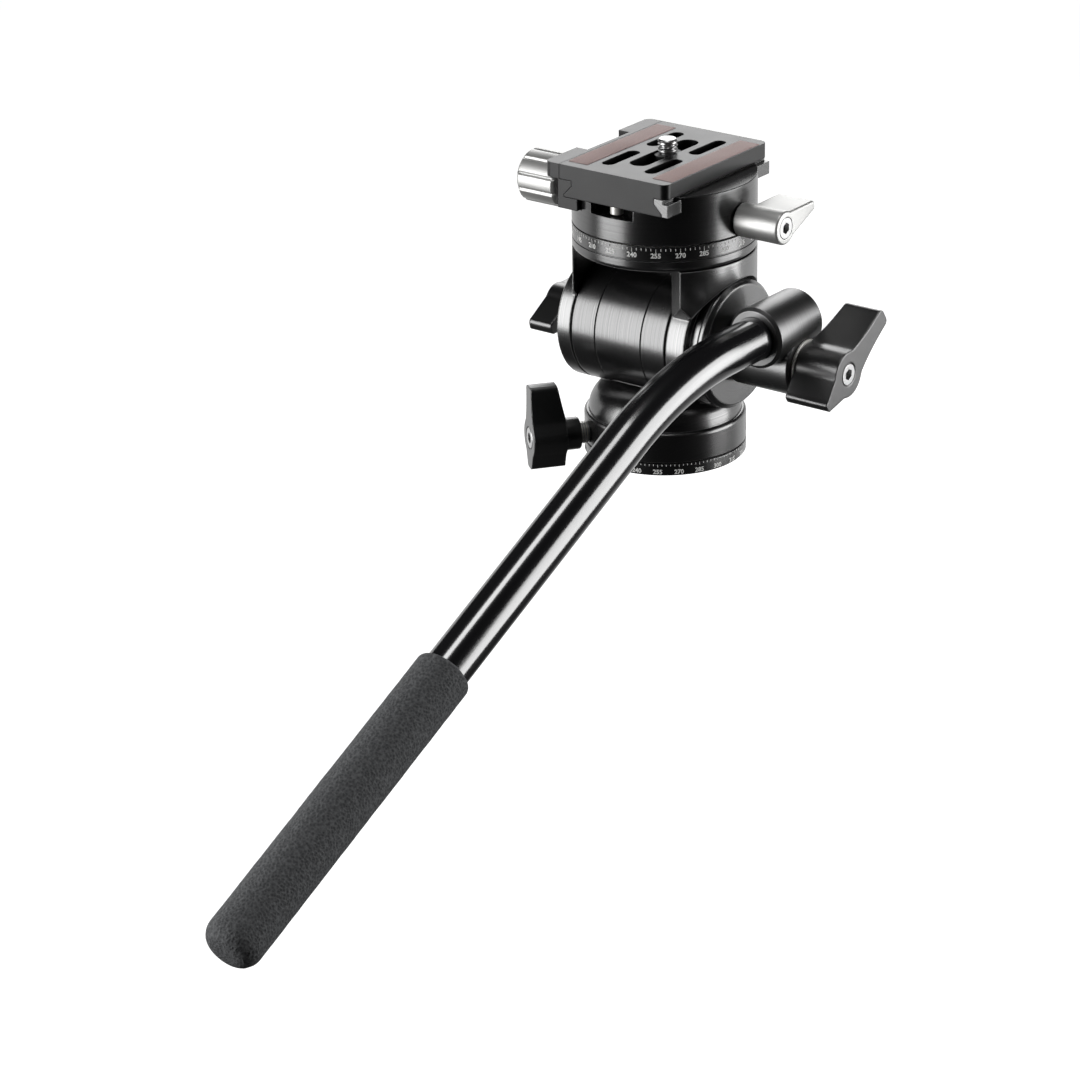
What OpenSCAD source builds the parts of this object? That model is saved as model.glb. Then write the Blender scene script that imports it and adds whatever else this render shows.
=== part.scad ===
/* [Base and pan] */
// Diameter of the graduated base ring and of the pan body on it
base_d = 53.3; // [50:0.1:58]
// Height of the graduated base ring
base_ring_h = 4.3; // [3.5:0.1:6]
// Height of the straight wall of the pan body
pan_wall_h = 10.1; // [9.8:0.1:12]
// Radius of the spindle that the pan body turns on
spindle_r = 17; // [15:0.1:18]
// Wall radius of the tripod thread
tripod_thread_r = 4; // [3:0.05:4.4]
// Depth of the tripod thread
tripod_thread_depth = 12; // [9:0.1:12.5]
// Direction of the pan lock seen from above, in degrees
pan_lock_angle = 232; // [215:1:245]
// Height of the pan lock axis above the foot
pan_lock_z = 8.2; // [7.8:0.1:9]

/* [Tilt drum and yoke] */
// Height of the tilt axis above the foot
tilt_z = 41.8; // [41:0.1:46]
// Radius of the tilt drum and of the yoke arms
drum_r = 21.2; // [20:0.1:21.6]
// Width of the fixed centre drum
drum_w = 18.2; // [16:0.1:22]
// Sideways place of the middle of the centre drum
drum_mid_x = -3.9; // [-5:0.1:-3]
// Width of each damping housing beside the centre drum
housing_w = 9.3; // [8.5:0.1:11]
// Thickness of the left yoke arm
left_arm_w = 5.9; // [5:0.1:7]
// Thickness of the right yoke arm at the drum
right_arm_w = 7.7; // [7:0.1:9]
// Width of the groove between the right arm and its boss
boss_groove_w = 3.4; // [2.5:0.1:4]
// Thickness of the boss on the right arm
boss_w = 3.9; // [3:0.1:5]
// Half depth of the neck of each yoke arm, front to back
arm_half_y = 16.6; // [14:0.1:17]
// Radius of the yoke disc and of the round body above it
head_r = 30; // [29:0.1:33]
// Height of the underside of the yoke disc
disc_z = 70.4; // [69.5:0.1:76]
// Height of the yoke disc
disc_h = 8.6; // [8:0.1:10]
// Radius of the tilt shaft
shaft_r = 6; // [5:0.1:6.5]

/* [Round head and clamp] */
// Height of the round body above the yoke disc
head_h = 16; // [15.6:0.1:18]
// Height of the upper pan lock axis above the seam
upper_lock_rise = 5.2; // [4.6:0.1:5.6]
// Width of the camera plate
plate_w = 41.6; // [41.4:0.1:43]
// Length of the camera plate
plate_l = 57; // [54:0.5:66]
// Thickness of the camera plate above its dovetail
plate_slab_h = 4.9; // [4:0.1:6]
// Width of the dovetail at its foot
dovetail_w = 38; // [37:0.1:39]
// Depth of the dovetail below the plate
dovetail_h = 5.7; // [5.4:0.1:6]
// Reach of the moving jaw past the plate edge
jaw_flange_w = 5.9; // [4:0.1:8]
// How far the moving jaw opens
jaw_travel = 4; // [3.5:0.1:4.2]
// Diameter of the clamp knob
clamp_knob_d = 17.6; // [15:0.1:18.4]
// Length of the clamp knob
clamp_knob_l = 15.4; // [12:0.1:18]
// Front to back place of the clamp screw
clamp_screw_y = -6; // [-7:0.1:-5.8]
// Radius of the camera screw thread
camera_screw_r = 3.175; // [3:0.005:3.2]
// Height of the camera screw above the plate
camera_screw_h = 4.4; // [4:0.1:6.5]
// Front to back place of the camera screw in its slot
camera_screw_y = 1.8; // [-4:0.1:4]

/* [Handle] */
// Distance of the handle pivot below the tilt axis
handle_drop = 1.6; // [0:0.1:3]
// Sideways place of the handle tube
handle_x = 45.2; // [44:0.1:48]
// Height of the straight end of the tube above the handle pivot
handle_rise = 11.2; // [10.8:0.1:12]
// Outer radius of the handle tube
tube_r = 7.05; // [6:0.05:7.5]
// Wall of the handle tube
tube_wall = 1.5; // [1:0.1:2.5]
// Place, behind the pivot, of the corner where the tube would bend
bend_corner_y = 59; // [55:0.5:70]
// Radius of the tube bend at its centre line
bend_r = 125; // [80:1:150]
// Angle that the tube bends down
bend_angle = 25.5; // [10:0.5:40]
// Length of tube from the corner to the grip
grip_start = 128; // [60:1:150]
// Length of the foam grip
grip_l = 111; // [80:1:140]
// Outer radius of the foam grip
grip_r = 8.95; // [8.6:0.05:12]
// Outer radius of the sleeve that holds the tube
sleeve_r = 10; // [9.8:0.1:10.4]

/* [Lock levers] */
// Hub radius of the handle lever
lever_hub_r = 7.6; // [7:0.1:9]
// Reach of the long wing of the handle lever
lever_wing = 25; // [20:0.5:27]
// Reach of the short wing of the handle lever
lever_nub = 14.5; // [12:0.5:17]
// Thickness of the handle lever along its axis
lever_depth = 15.5; // [12:0.1:18]
// Hub radius of the tilt lever
tilt_hub_r = 6.6; // [6.2:0.1:7.5]
// Reach of the long wing of the tilt lever
tilt_wing = 20; // [17:0.5:22]
// Reach of the short wing of the tilt lever
tilt_nub = 15.5; // [13:0.5:17]
// Thickness of the tilt lever along its axis
tilt_lever_depth = 9; // [8:0.1:12]
// Hub radius of the pan lever
pan_hub_r = 6.7; // [5.5:0.1:8]
// Reach of the long wing of the pan lever
pan_wing = 18; // [16:0.5:22]
// Reach of the short wing of the pan lever
pan_nub = 10.5; // [9:0.5:14]
// Thickness of the pan lever along its axis
pan_lever_depth = 11.4; // [9:0.1:14]
// Hub radius of the silver upper lever
upper_hub_r = 5.5; // [5:0.1:6]
// Length of the silver upper lever along its axis
upper_lever_l = 16.6; // [14:0.1:20]
// Reach of the wing of the silver upper lever
upper_wing = 17; // [14:0.5:19]

/* [Hidden] */
$fn = 96;

// Gaps: a seat inside one body, a running fit, and free air between bodies
seat_gap = 0.02;
run_gap = 0.05;
side_gap = 0.3;
// How far a cutting shape runs past the face that it opens
past = 5;
edge = 0.5;

// Heights and radii of the base and the pan body
base_r = base_d / 2;
pan_z0 = base_ring_h + side_gap;
shoulder_r = 1.3;
shoulder_z = base_ring_h + pan_wall_h;
dome_r = 10;
dome_inset = 1.45;
spindle_top = shoulder_z - side_gap;
spindle_head_room = 0.9;
pan_roof = spindle_top + spindle_head_room;
bush_wall = 2;
groove_half = 2.2;
groove_depth = 1.2;
washer_w = 8.5;
set_screw_r = 2;
set_screw_tip_r = 1.5;
set_screw_l = 7;
pan_stud_r = 3;
shoe_l = 3;
tip_l = 1.3;
tip_gap = 0.2;

// Places along the tilt axis, from the drum outwards
drum_x0 = drum_mid_x - drum_w / 2;
drum_x1 = drum_mid_x + drum_w / 2;
housing_x0 = drum_x0 - housing_w;
housing_x1 = drum_x1 + housing_w;
left_in = housing_x0 - side_gap;
left_out = left_in - left_arm_w;
right_in = housing_x1 + side_gap;
right_out = right_in + right_arm_w;
boss_x0 = right_out + boss_groove_w;
boss_x1 = boss_x0 + boss_w;
swing_gap = 0.35;
arm_swing = drum_r + swing_gap;
housing_wall = 1.6;
housing_rim = 3.6;
spigot_r = 12;
spigot_l = 1.2;
rotor_gap = 0.4;
drum_bush_wall = 2;
drum_bush_l = 6;
shaft_seat_l = 5.2;
shaft_end = right_in + shaft_seat_l;
boss_groove_depth = 2.7;
groove_floor_r = drum_r - boss_groove_depth;
boss_clear = 1.2;
boss_round = 1.4;
arm_corner_left = 19.2;
arm_corner_right = 17.1;
arm_bevel = 0.69;
arm_flare_rise = 10;
arm_flare_w = 8;
arm_flare = 1.4;
rosette_r = 9.5;
rosette_seat = 1.5;
rosette_h = 2.8;

// Heights of the yoke disc and the round head
seam_z = disc_z + disc_h;
head_z0 = seam_z + side_gap;
head_top = head_z0 + head_h;
hub_r = 11;
hub_h = 4.4;
hub_top = seam_z + hub_h;
disc_groove_rise = 3.6;
disc_groove_z = disc_z + disc_groove_rise;
disc_groove = 0.4;
disc_round = 1.5;
upper_bolt_r = 3;
upper_bolt_head_r = 4.2;
upper_bolt_head_h = 3.4;
upper_bolt_depth = 7;
yoke_screw_r = 1.5;
yoke_screw_head_r = 2.75;
yoke_screw_head_h = 2.6;
yoke_screw_l = 17;
yoke_screw_y = 9;

// Clamp: floor, dovetail and jaws
channel_depth = 5.1;
slide_gap = 0.1;
floor_z = head_top - channel_depth;
dovetail_z = floor_z + slide_gap;
slab_z = dovetail_z + dovetail_h;
plate_top = slab_z + plate_slab_h;
lip = 3;
corner_r = 2.5;
foot_h = 0.9;
jaw_gap = 0.1;
half_dovetail = dovetail_w / 2;
waist = half_dovetail - lip;
waist_z = dovetail_z + foot_h + lip;
jaw_top = slab_z - slide_gap;
fixed_jaw_over = 0.5;
fixed_jaw_x = plate_w / 2 + fixed_jaw_over;
rabbet = 1.9;
ledge_drop = 3.9;
ledge_z = floor_z - ledge_drop;
jaw_bottom = ledge_z + slide_gap;
leg_over = 0.6;
leg_x = -plate_w / 2 - leg_over;
flange_x0 = -plate_w / 2 - jaw_gap;
flange_x1 = flange_x0 - jaw_flange_w;
notch_web = 1.6;
notch_x = flange_x0 - notch_web;
notch_y0 = -11;
notch_y1 = 12;
step_x = -13.2;
jaw_end_gap = 0.7;
jaw_in_x = step_x - jaw_end_gap;
screw_rise = 0.6;
screw_z = ledge_z + screw_rise;
clamp_screw_r = 2.5;
neck_r = 4.5;
neck_over = 1.2;
neck_x = -head_r - neck_over;
neck_slot_over = 1;
collar_r = 6.2;
collar_l = 2.9;
clamp_knob_x = neck_x - collar_l;
knob_end_wall = 5.5;
screw_engage = 5.4;
clamp_screw_tip = step_x + jaw_travel + screw_engage;
clip_r = 3.2;
clip_w = 1.2;
pin_r = 1.2;
pin_y = 13;
pin_rise = 1.9;
pin_engage = 6.2;
pin_tip = step_x + jaw_travel + pin_engage;
recess_half = 8.2;
recess_y = 17;
recess_depth = 3.2;
recess_z = floor_z - recess_depth;

// Camera plate details
strip_w = 7.5;
strip_inset = 0.6;
strip_x = plate_w / 2 - strip_inset - strip_w / 2;
strip_end = 4.2;
strip_sink = 0.7;
strip_h = 0.9;
slot_w = 4.4;
slot_x = 8.3;
slot_near = 3.4;
slot_far = 21;
main_slot_w = 6.9;
main_slot_half = 16.5;
under_slot_w = 13.4;
under_slot_z = waist_z;
screw_head_r = 6.3;
screw_head_h = 2.8;
under_slot_half = main_slot_half + screw_head_r - camera_screw_r;
slider_half_l = 5;
shank_relief = 0.6;
camera_shank_r = camera_screw_r - shank_relief;
stop_r = 2.15;
stop_h = 2.7;
stop_shank_r = 1.5;
stop_shank_l = 3.5;
stop_inset = 2.5;
stop_y = plate_l / 2 - stop_inset;

// Upper pan lock
upper_lock_z = seam_z + upper_lock_rise;
upper_stud_r = 2.8;
upper_lever_x = head_r + side_gap;
upper_shoe_l = 5;
upper_tip_w = 3;

// Handle bracket, tube and levers
pivot_z = tilt_z - handle_drop;
tube_z = pivot_z + handle_rise;
bracket_x0 = boss_x1 - rosette_seat + rosette_h + side_gap;
bracket_over = 9.4;
bracket_x1 = handle_x + bracket_over;
bracket_r = 10.5;
sleeve_front = -15;
sleeve_back = 9.8;
sleeve_floor = 6;
bend_tangent = bend_r * tan(bend_angle / 2);
bend_y = bend_tangent - bend_corner_y;
tube_end_gap = 14;
tube_lap = 1;
handle_washer_r = 7;
handle_washer_h = 1;
handle_lever_x = bracket_x1 + handle_washer_h;
bolt_r = 2.5;
bolt_head_r = 3.6;
bolt_head_h = 3.2;
socket_r = 1.9;
socket_depth = 2;
bolt_engage = 8;
wing_angle = 34;
wing_tip_w = 6.4;
nub_tip_w = 2.8;
tilt_wing_angle = 15;
tilt_tip_w = 3.4;
pan_wing_tip_w = 6;
pan_nub_tip_w = 4.5;
wing_flare = 2.6;
straight = 1;
wing_lift = 2.4;
outline_steps = 10;
tilt_collar_r = 5.5;
tilt_collar_l = 6.4;
pan_collar_r = 5.35;
pan_collar_l = 5.3;
pan_lever_gap = 3;

// A plain rod along X between two places
module rod_x(r, x0, x1, y, z) {
    translate([x0, y, z]) rotate([0, 90, 0]) cylinder(r = r, h = x1 - x0);
}

// A rod along X with both edges chamfered
module disc_x(r, x0, x1, y, z, e) {
    translate([x0, y, z]) rotate([0, 90, 0]) soft_disc(r, x1 - x0, e);
}

// A disc on Z with both edges chamfered
module soft_disc(r, h, e) {
    rotate_extrude() polygon([[0, 0], [r - e, 0], [r, e], [r, h - e], [r - e, h], [0, h]]);
}

// A flat ring on Z
module ring(r_out, r_in, h) {
    difference() {
        cylinder(r = r_out, h = h);
        translate([0, 0, -past]) cylinder(r = r_in, h = h + 2 * past);
    }
}

// A bolt on Z with its tip at zero and a hexagon socket in its head
module socket_bolt(r, head_r, head_h, length) {
    difference() {
        union() {
            cylinder(r = r, h = length - head_h + edge);
            translate([0, 0, length - head_h]) soft_disc(head_r, head_h, edge / 2);
        }
        translate([0, 0, length - socket_depth]) cylinder(r = socket_r, h = past, $fn = 6);
    }
}

// Half width of a lever wing at a share of its reach, straight for a flare of one
function wing_half(share, hub, tip_w, flare) = tip_w / 2 + (hub - edge - tip_w / 2) * pow(1 - share, flare);

// One side of a wing, from the hub outwards, with its sign along and across the lever
function wing_side(reach, hub, tip_w, flare, along, across) = [for (i = [0:outline_steps])
    [along * reach * i / outline_steps, across * wing_half(i / outline_steps, hub, tip_w, flare)]];

// The same points from the tip back to the hub, without the last one
function back_to_hub(side) = [for (i = [outline_steps:-1:1]) side[i]];

// Outline of a flared long wing along +X
module long_wing(reach, hub, tip_w, flare) {
    polygon(concat(wing_side(reach, hub, tip_w, flare, 1, 1),
        back_to_hub(wing_side(reach, hub, tip_w, flare, 1, -1)), [[0, edge - hub]]));
}

// Outline of a straight sided short wing along -X
module short_wing(nub, hub, nub_w) {
    polygon([[edge, hub - edge], [-nub, nub_w / 2], [-nub, -nub_w / 2], [edge, edge - hub]]);
}

// A lock lever on Z: a collar, a hub with a long and a short wing, and a seat for the bolt head
module lock_lever(hub, reach, nub, tip_w, nub_w, flare, depth, collar, collar_h, bore) {
    difference() {
        union() {
            if (collar_h > 0) {
                cylinder(r = collar, h = collar_h + edge);
            }
            translate([0, 0, collar_h]) cylinder(r = hub, h = depth);
            translate([0, 0, collar_h]) linear_extrude(depth) short_wing(nub, hub, nub_w);
            difference() {
                translate([0, 0, collar_h]) linear_extrude(depth) long_wing(reach, hub, tip_w, flare);
                translate([hub, -hub, collar_h]) rotate([0, -atan(wing_lift / (reach - hub)), 0])
                    translate([0, 0, -depth]) cube([2 * reach, 2 * hub, depth]);
            }
        }
        translate([0, 0, -past]) cylinder(r = bore + seat_gap, h = depth + collar_h + 2 * past);
        translate([0, 0, collar_h + depth - bolt_head_h])
            cylinder(r = bolt_head_r + seat_gap, h = bolt_head_h + past);
    }
}

// Puts a shape drawn on Z on the radial line of the pan lock
module on_pan_lock(rho) {
    rotate([0, 0, pan_lock_angle]) translate([rho, 0, pan_lock_z]) rotate([0, 90, 0]) children();
}

// Puts a shape drawn on Z on each of three radial lines round the far side of the pan body
module on_set_screws(rho) {
    for (turn = [160, 210, 260]) {
        rotate([0, 0, pan_lock_angle + turn]) translate([rho, 0, pan_lock_z]) rotate([0, 90, 0]) children();
    }
}

// Foot ring and spindle with its locking groove and thread seat
module base_plate() {
    color("dimgray") difference() {
        union() {
            soft_disc(base_r, base_ring_h, edge);
            cylinder(r = spindle_r, h = spindle_top);
        }
        translate([0, 0, pan_lock_z - groove_half])
            ring(spindle_r + past, spindle_r - groove_depth, 2 * groove_half);
        translate([0, 0, -past])
            cylinder(r = tripod_thread_r + bush_wall + seat_gap, h = tripod_thread_depth + past);
    }
}

// Steel bush that carries the tripod thread
module thread_bush() {
    color("silver") ring(tripod_thread_r + bush_wall, tripod_thread_r, tripod_thread_depth);
}

// Thrust washer under the pan body
module pan_washer() {
    color("ivory") translate([0, 0, base_ring_h])
        ring(spindle_r + side_gap + washer_w, spindle_r + side_gap, side_gap - run_gap);
}

// Outline of the pan body, turned about the pan axis
module pan_profile() {
    translate([0, pan_z0]) square([base_r, shoulder_z - shoulder_r - pan_z0]);
    translate([0, shoulder_z - shoulder_r - edge]) square([base_r - shoulder_r, shoulder_r + edge]);
    translate([base_r - shoulder_r, shoulder_z - shoulder_r]) circle(r = shoulder_r);
    intersection() {
        translate([base_r - dome_inset - dome_r, shoulder_z]) circle(r = dome_r);
        translate([0, shoulder_z - edge]) square([base_r, dome_r + 2 * edge]);
    }
    translate([0, shoulder_z - edge]) square([base_r - dome_inset - dome_r, dome_r + edge]);
}

// Pan body with its shoulder, domed neck and fixed centre drum
module pan_body() {
    color("gray") difference() {
        union() {
            difference() {
                rotate_extrude() pan_profile();
                rod_x(arm_swing, -head_r - past, drum_x0, 0, tilt_z);
                rod_x(arm_swing, drum_x1, head_r + past, 0, tilt_z);
            }
            disc_x(drum_r, drum_x0, drum_x1, 0, tilt_z, edge / 2);
            rod_x(spigot_r, drum_x0 - spigot_l, drum_x1 + spigot_l, 0, tilt_z);
        }
        cylinder(r = spindle_r + run_gap, h = pan_roof);
        rod_x(shaft_r + drum_bush_wall + seat_gap, drum_x0 - past, drum_x1 + past, 0, tilt_z);
        on_pan_lock(spindle_r - edge) cylinder(r = pan_stud_r + run_gap, h = base_r);
        on_set_screws(spindle_r - edge) cylinder(r = set_screw_r + seat_gap, h = base_r);
    }
}

// Three dog point screws that hold the pan body on the spindle
module pan_set_screws() {
    color("silver") on_set_screws(spindle_r - groove_depth + tip_gap) difference() {
        union() {
            cylinder(r = set_screw_tip_r, h = tip_l + edge);
            translate([0, 0, tip_l]) cylinder(r = set_screw_r, h = set_screw_l);
        }
        translate([0, 0, tip_l + set_screw_l - socket_depth])
            cylinder(r = set_screw_r / 2, h = past, $fn = 6);
    }
}

// Brass shoe that the pan lock presses into the groove
module pan_shoe() {
    color("goldenrod") on_pan_lock(spindle_r - groove_depth + tip_gap) {
        cylinder(r = groove_half - side_gap, h = tip_l + edge);
        translate([0, 0, tip_l]) cylinder(r = pan_stud_r, h = shoe_l);
    }
}

// One damping housing, drawn on Z from its closed end
module housing() {
    difference() {
        soft_disc(drum_r, housing_w, edge / 2);
        translate([0, 0, -past]) cylinder(r = spigot_r + seat_gap, h = housing_w + past);
        translate([0, 0, housing_wall]) cylinder(r = drum_r - housing_rim, h = housing_w);
    }
}

// Damping housing on the left of the centre drum
module housing_left() {
    color("dimgray") translate([drum_x0, 0, tilt_z]) rotate([0, -90, 0]) housing();
}

// Damping housing on the right of the centre drum
module housing_right() {
    color("dimgray") translate([drum_x1, 0, tilt_z]) rotate([0, 90, 0]) housing();
}

// One damping rotor, drawn on Z from the arm that drives it
module rotor() {
    rotor_l = housing_w + side_gap - housing_wall - rotor_gap;
    ring(drum_r - housing_rim - rotor_gap, shaft_r + seat_gap, rotor_l);
}

// Damping rotor driven by the left arm
module rotor_left() {
    color("slategray") translate([left_in, 0, tilt_z]) rotate([0, 90, 0]) rotor();
}

// Damping rotor driven by the right arm
module rotor_right() {
    color("slategray") translate([right_in, 0, tilt_z]) rotate([0, -90, 0]) rotor();
}

// Two bronze bushes in the centre drum
module tilt_bushes() {
    color("peru") for (x = [drum_x0 - spigot_l, drum_x1 + spigot_l - drum_bush_l]) {
        translate([x, 0, tilt_z]) rotate([0, 90, 0])
            ring(shaft_r + drum_bush_wall, shaft_r + run_gap, drum_bush_l);
    }
}

// Pan lock lever on its radial axis, long wing upwards
module pan_lever() {
    color("black") on_pan_lock(base_r + pan_lever_gap) rotate([0, 0, 180])
        lock_lever(pan_hub_r, pan_wing, pan_nub, pan_wing_tip_w, pan_nub_tip_w, wing_flare,
            pan_lever_depth, pan_collar_r, pan_collar_l, pan_stud_r);
}

// Steel stud of the pan lock, from the shoe to the socket in the lever
module pan_stud() {
    start = spindle_r - groove_depth + tip_gap + tip_l + shoe_l + tip_gap;
    reach = base_r + pan_lever_gap + pan_collar_l + pan_lever_depth;
    color("silver") {
        on_pan_lock(start) socket_bolt(pan_stud_r, bolt_head_r, bolt_head_h, reach - start);
        on_pan_lock(base_r + side_gap) cylinder(r = pan_stud_r + edge, h = pan_lever_gap - side_gap);
    }
}

// Outline of the graduated yoke disc with its fine groove
module disc_profile() {
    difference() {
        union() {
            translate([0, disc_z]) square([head_r - disc_round, disc_h]);
            translate([0, disc_z + disc_round]) square([head_r, disc_h - disc_round]);
            translate([head_r - disc_round, disc_z + disc_round]) circle(r = disc_round);
        }
        translate([head_r - disc_groove, disc_groove_z]) square([disc_groove + past, disc_groove]);
    }
}

// Places of the screws that join the disc to the arms
module on_yoke_screws() {
    for (x = [(left_in + left_out) / 2, (right_in + right_out) / 2], y = [-yoke_screw_y, yoke_screw_y]) {
        translate([x, y, seam_z]) children();
    }
}

// Graduated disc of the tilting yoke with the hub of the upper pan
module yoke_disc() {
    color("gray") difference() {
        union() {
            rotate_extrude() disc_profile();
            translate([0, 0, seam_z - edge]) cylinder(r = hub_r, h = hub_h + edge);
        }
        translate([0, 0, seam_z - upper_bolt_depth])
            cylinder(r = upper_bolt_r + seat_gap, h = upper_bolt_depth + hub_h + past);
        on_yoke_screws() {
            translate([0, 0, -yoke_screw_head_h]) cylinder(r = yoke_screw_head_r + seat_gap, h = past);
            translate([0, 0, -disc_h - past]) cylinder(r = yoke_screw_r + seat_gap, h = disc_h + past);
        }
    }
}

// Plan of an arm outside its inner face, with bevelled corners, on the side given by a sign
module arm_plan(inner_x, corner_y, side) {
    far_x = side * 2 * head_r;
    far_y = corner_y + arm_bevel * abs(far_x - inner_x);
    polygon([[inner_x, -corner_y], [far_x, -far_y], [far_x, far_y], [inner_x, corner_y]]);
}

// Side view of an arm from the tilt axis up: a neck that widens upwards to the head
module arm_side() {
    top = disc_z - tilt_z;
    wide = arm_half_y + arm_flare_w;
    flare_top = arm_flare_rise + arm_flare * arm_flare_w;
    polygon([[-arm_half_y, 0], [-arm_half_y, arm_flare_rise], [-wide, flare_top], [-wide, top],
        [wide, top], [wide, flare_top], [arm_half_y, arm_flare_rise], [arm_half_y, 0]]);
}

// Upright block of an arm, rounded to the head
module arm_block(inner_x, corner_y, side) {
    intersection() {
        translate([0, 0, tilt_z - past]) linear_extrude(disc_z - tilt_z + 2 * past)
            arm_plan(inner_x, corner_y, side);
        translate([-head_r - past, 0, tilt_z]) rotate([90, 0, 90])
            linear_extrude(2 * (head_r + past)) arm_side();
        cylinder(r = head_r, h = disc_z + past);
    }
}

// Holes in the top of the arms for the yoke screws
module arm_screw_holes() {
    on_yoke_screws() translate([0, 0, -yoke_screw_l])
        cylinder(r = yoke_screw_r + seat_gap, h = yoke_screw_l);
}

// Left arm of the tilting yoke
module left_arm() {
    color("gray") difference() {
        union() {
            disc_x(drum_r, left_out, left_in, 0, tilt_z, edge);
            difference() {
                arm_block(left_in, arm_corner_left, -1);
                rod_x(drum_r + boss_clear, -head_r - past, left_out + side_gap, 0, tilt_z);
            }
        }
        rod_x(shaft_r + seat_gap, left_out - past, left_in + past, 0, tilt_z);
        arm_screw_holes();
    }
}

// Right arm of the tilting yoke with its groove and boss
module right_arm() {
    color("gray") difference() {
        union() {
            disc_x(drum_r, right_in, right_out, 0, tilt_z, edge);
            rod_x(groove_floor_r, right_out - edge, boss_x0 + edge, 0, tilt_z);
            disc_x(drum_r, boss_x0, boss_x1, 0, tilt_z, boss_round);
            difference() {
                arm_block(right_in, arm_corner_right, 1);
                rod_x(drum_r + boss_clear, right_out - side_gap, head_r + past, 0, tilt_z);
            }
        }
        rod_x(shaft_r + seat_gap, right_in - past, shaft_end, 0, tilt_z);
        rod_x(bolt_r + run_gap, shaft_end - seat_gap, boss_x1 + past, 0, pivot_z);
        rod_x(rosette_r + seat_gap, boss_x1 - rosette_seat, boss_x1 + past, 0, pivot_z);
        arm_screw_holes();
    }
}

// Four screws that join the disc to the arms
module yoke_screws() {
    color("silver") on_yoke_screws() translate([0, 0, -yoke_screw_l + edge])
        socket_bolt(yoke_screw_r, yoke_screw_head_r, yoke_screw_head_h - edge, yoke_screw_l - edge);
}

// Tilt shaft through the arms, the rotors and the drum
module tilt_shaft() {
    color("silver") difference() {
        rod_x(shaft_r, left_out, shaft_end - seat_gap, 0, tilt_z);
        rod_x(bolt_r + run_gap, left_out - past, left_in + bolt_engage + edge, 0, tilt_z);
    }
}

// Toothed seat that the handle bracket is clamped against
module rosette() {
    color("silver") difference() {
        disc_x(rosette_r, boss_x1 - rosette_seat, boss_x1 - rosette_seat + rosette_h, 0, pivot_z, edge);
        rod_x(bolt_r + run_gap, boss_x0, boss_x1 + past, 0, pivot_z);
    }
}

// Shoulder bolt that holds the round head on the yoke
module upper_bolt() {
    bolt_l = floor_z - side_gap - seam_z + upper_bolt_depth;
    color("silver") translate([0, 0, seam_z - upper_bolt_depth])
        socket_bolt(upper_bolt_r, upper_bolt_head_r, upper_bolt_head_h, bolt_l);
}

// Thrust washer under the round head
module upper_washer() {
    color("ivory") translate([0, 0, seam_z])
        ring(head_r - 2 * edge, hub_r + side_gap, side_gap - run_gap);
}

// Tilt lock lever on the left end of the tilt axis
module tilt_lever() {
    color("black") translate([left_out - side_gap, 0, tilt_z]) rotate([0, -90, 0])
        rotate([0, 0, 90 - tilt_wing_angle])
            lock_lever(tilt_hub_r, tilt_wing, tilt_nub, tilt_tip_w, tilt_tip_w, straight,
                tilt_lever_depth, tilt_collar_r, tilt_collar_l, bolt_r);
}

// Steel stud of the tilt lock, screwed into the shaft
module tilt_stud() {
    stud_l = tilt_lever_depth + tilt_collar_l + side_gap + left_arm_w + bolt_engage;
    color("silver") translate([left_in + bolt_engage, 0, tilt_z]) rotate([0, -90, 0])
        socket_bolt(bolt_r, bolt_head_r, bolt_head_h, stud_l);
}

// Bracket that holds the tube beside the yoke
module handle_bracket() {
    color("dimgray") difference() {
        union() {
            disc_x(bracket_r, bracket_x0, bracket_x1, 0, pivot_z, edge);
            translate([handle_x, sleeve_front, tube_z]) rotate([-90, 0, 0])
                soft_disc(sleeve_r, sleeve_back - sleeve_front, 2 * edge);
            translate([handle_x - sleeve_r, -sleeve_r + edge, pivot_z])
                cube([bracket_x1 - handle_x + sleeve_r - edge, 2 * (sleeve_r - edge), handle_rise]);
        }
        rod_x(bolt_r + 2 * run_gap, bracket_x0 - past, bracket_x1 + past, 0, pivot_z);
        translate([handle_x, sleeve_front - past, tube_z]) rotate([-90, 0, 0])
            cylinder(r = tube_r + seat_gap, h = sleeve_floor - sleeve_front + past);
    }
}

// Puts a shape drawn along +Y of the bend plane into place beside the head
module in_bend_plane() {
    translate([handle_x, bend_y, tube_z - bend_r]) rotate([0, -90, 180]) children();
}

// The tube's line as solid rods; the bend is a hair thinner and its ends lie inside the straight rods
module tube_line(r, extra) {
    straight_l = sleeve_floor - bend_y;
    far_l = grip_start + grip_l - tube_end_gap - bend_tangent;
    translate([bend_r, -straight_l - extra, 0]) rotate([-90, 0, 0])
        cylinder(r = r, h = straight_l + extra + tube_lap);
    rotate_extrude(angle = bend_angle) translate([bend_r, 0]) circle(r = r - seat_gap);
    rotate([0, 0, bend_angle]) translate([bend_r, -tube_lap, 0]) rotate([-90, 0, 0])
        cylinder(r = r, h = far_l + extra + tube_lap);
}

// Bent handle tube, open at both ends
module handle_tube() {
    color("black") in_bend_plane() difference() {
        union() {
            tube_line(tube_r, 0);
        }
        tube_line(tube_r - tube_wall, past);
    }
}

// Outline of the foam grip, turned about the tube
module grip_profile() {
    round_start = 1.6;
    round_end = 5.5;
    translate([0, round_start]) square([grip_r, grip_l - round_start - round_end]);
    square([grip_r - round_start, 2 * round_start]);
    square([grip_r - round_end, grip_l]);
    translate([grip_r - round_start, round_start]) circle(r = round_start);
    translate([grip_r - round_end, grip_l - round_end]) intersection() {
        circle(r = round_end);
        square(round_end);
    }
}

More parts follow.
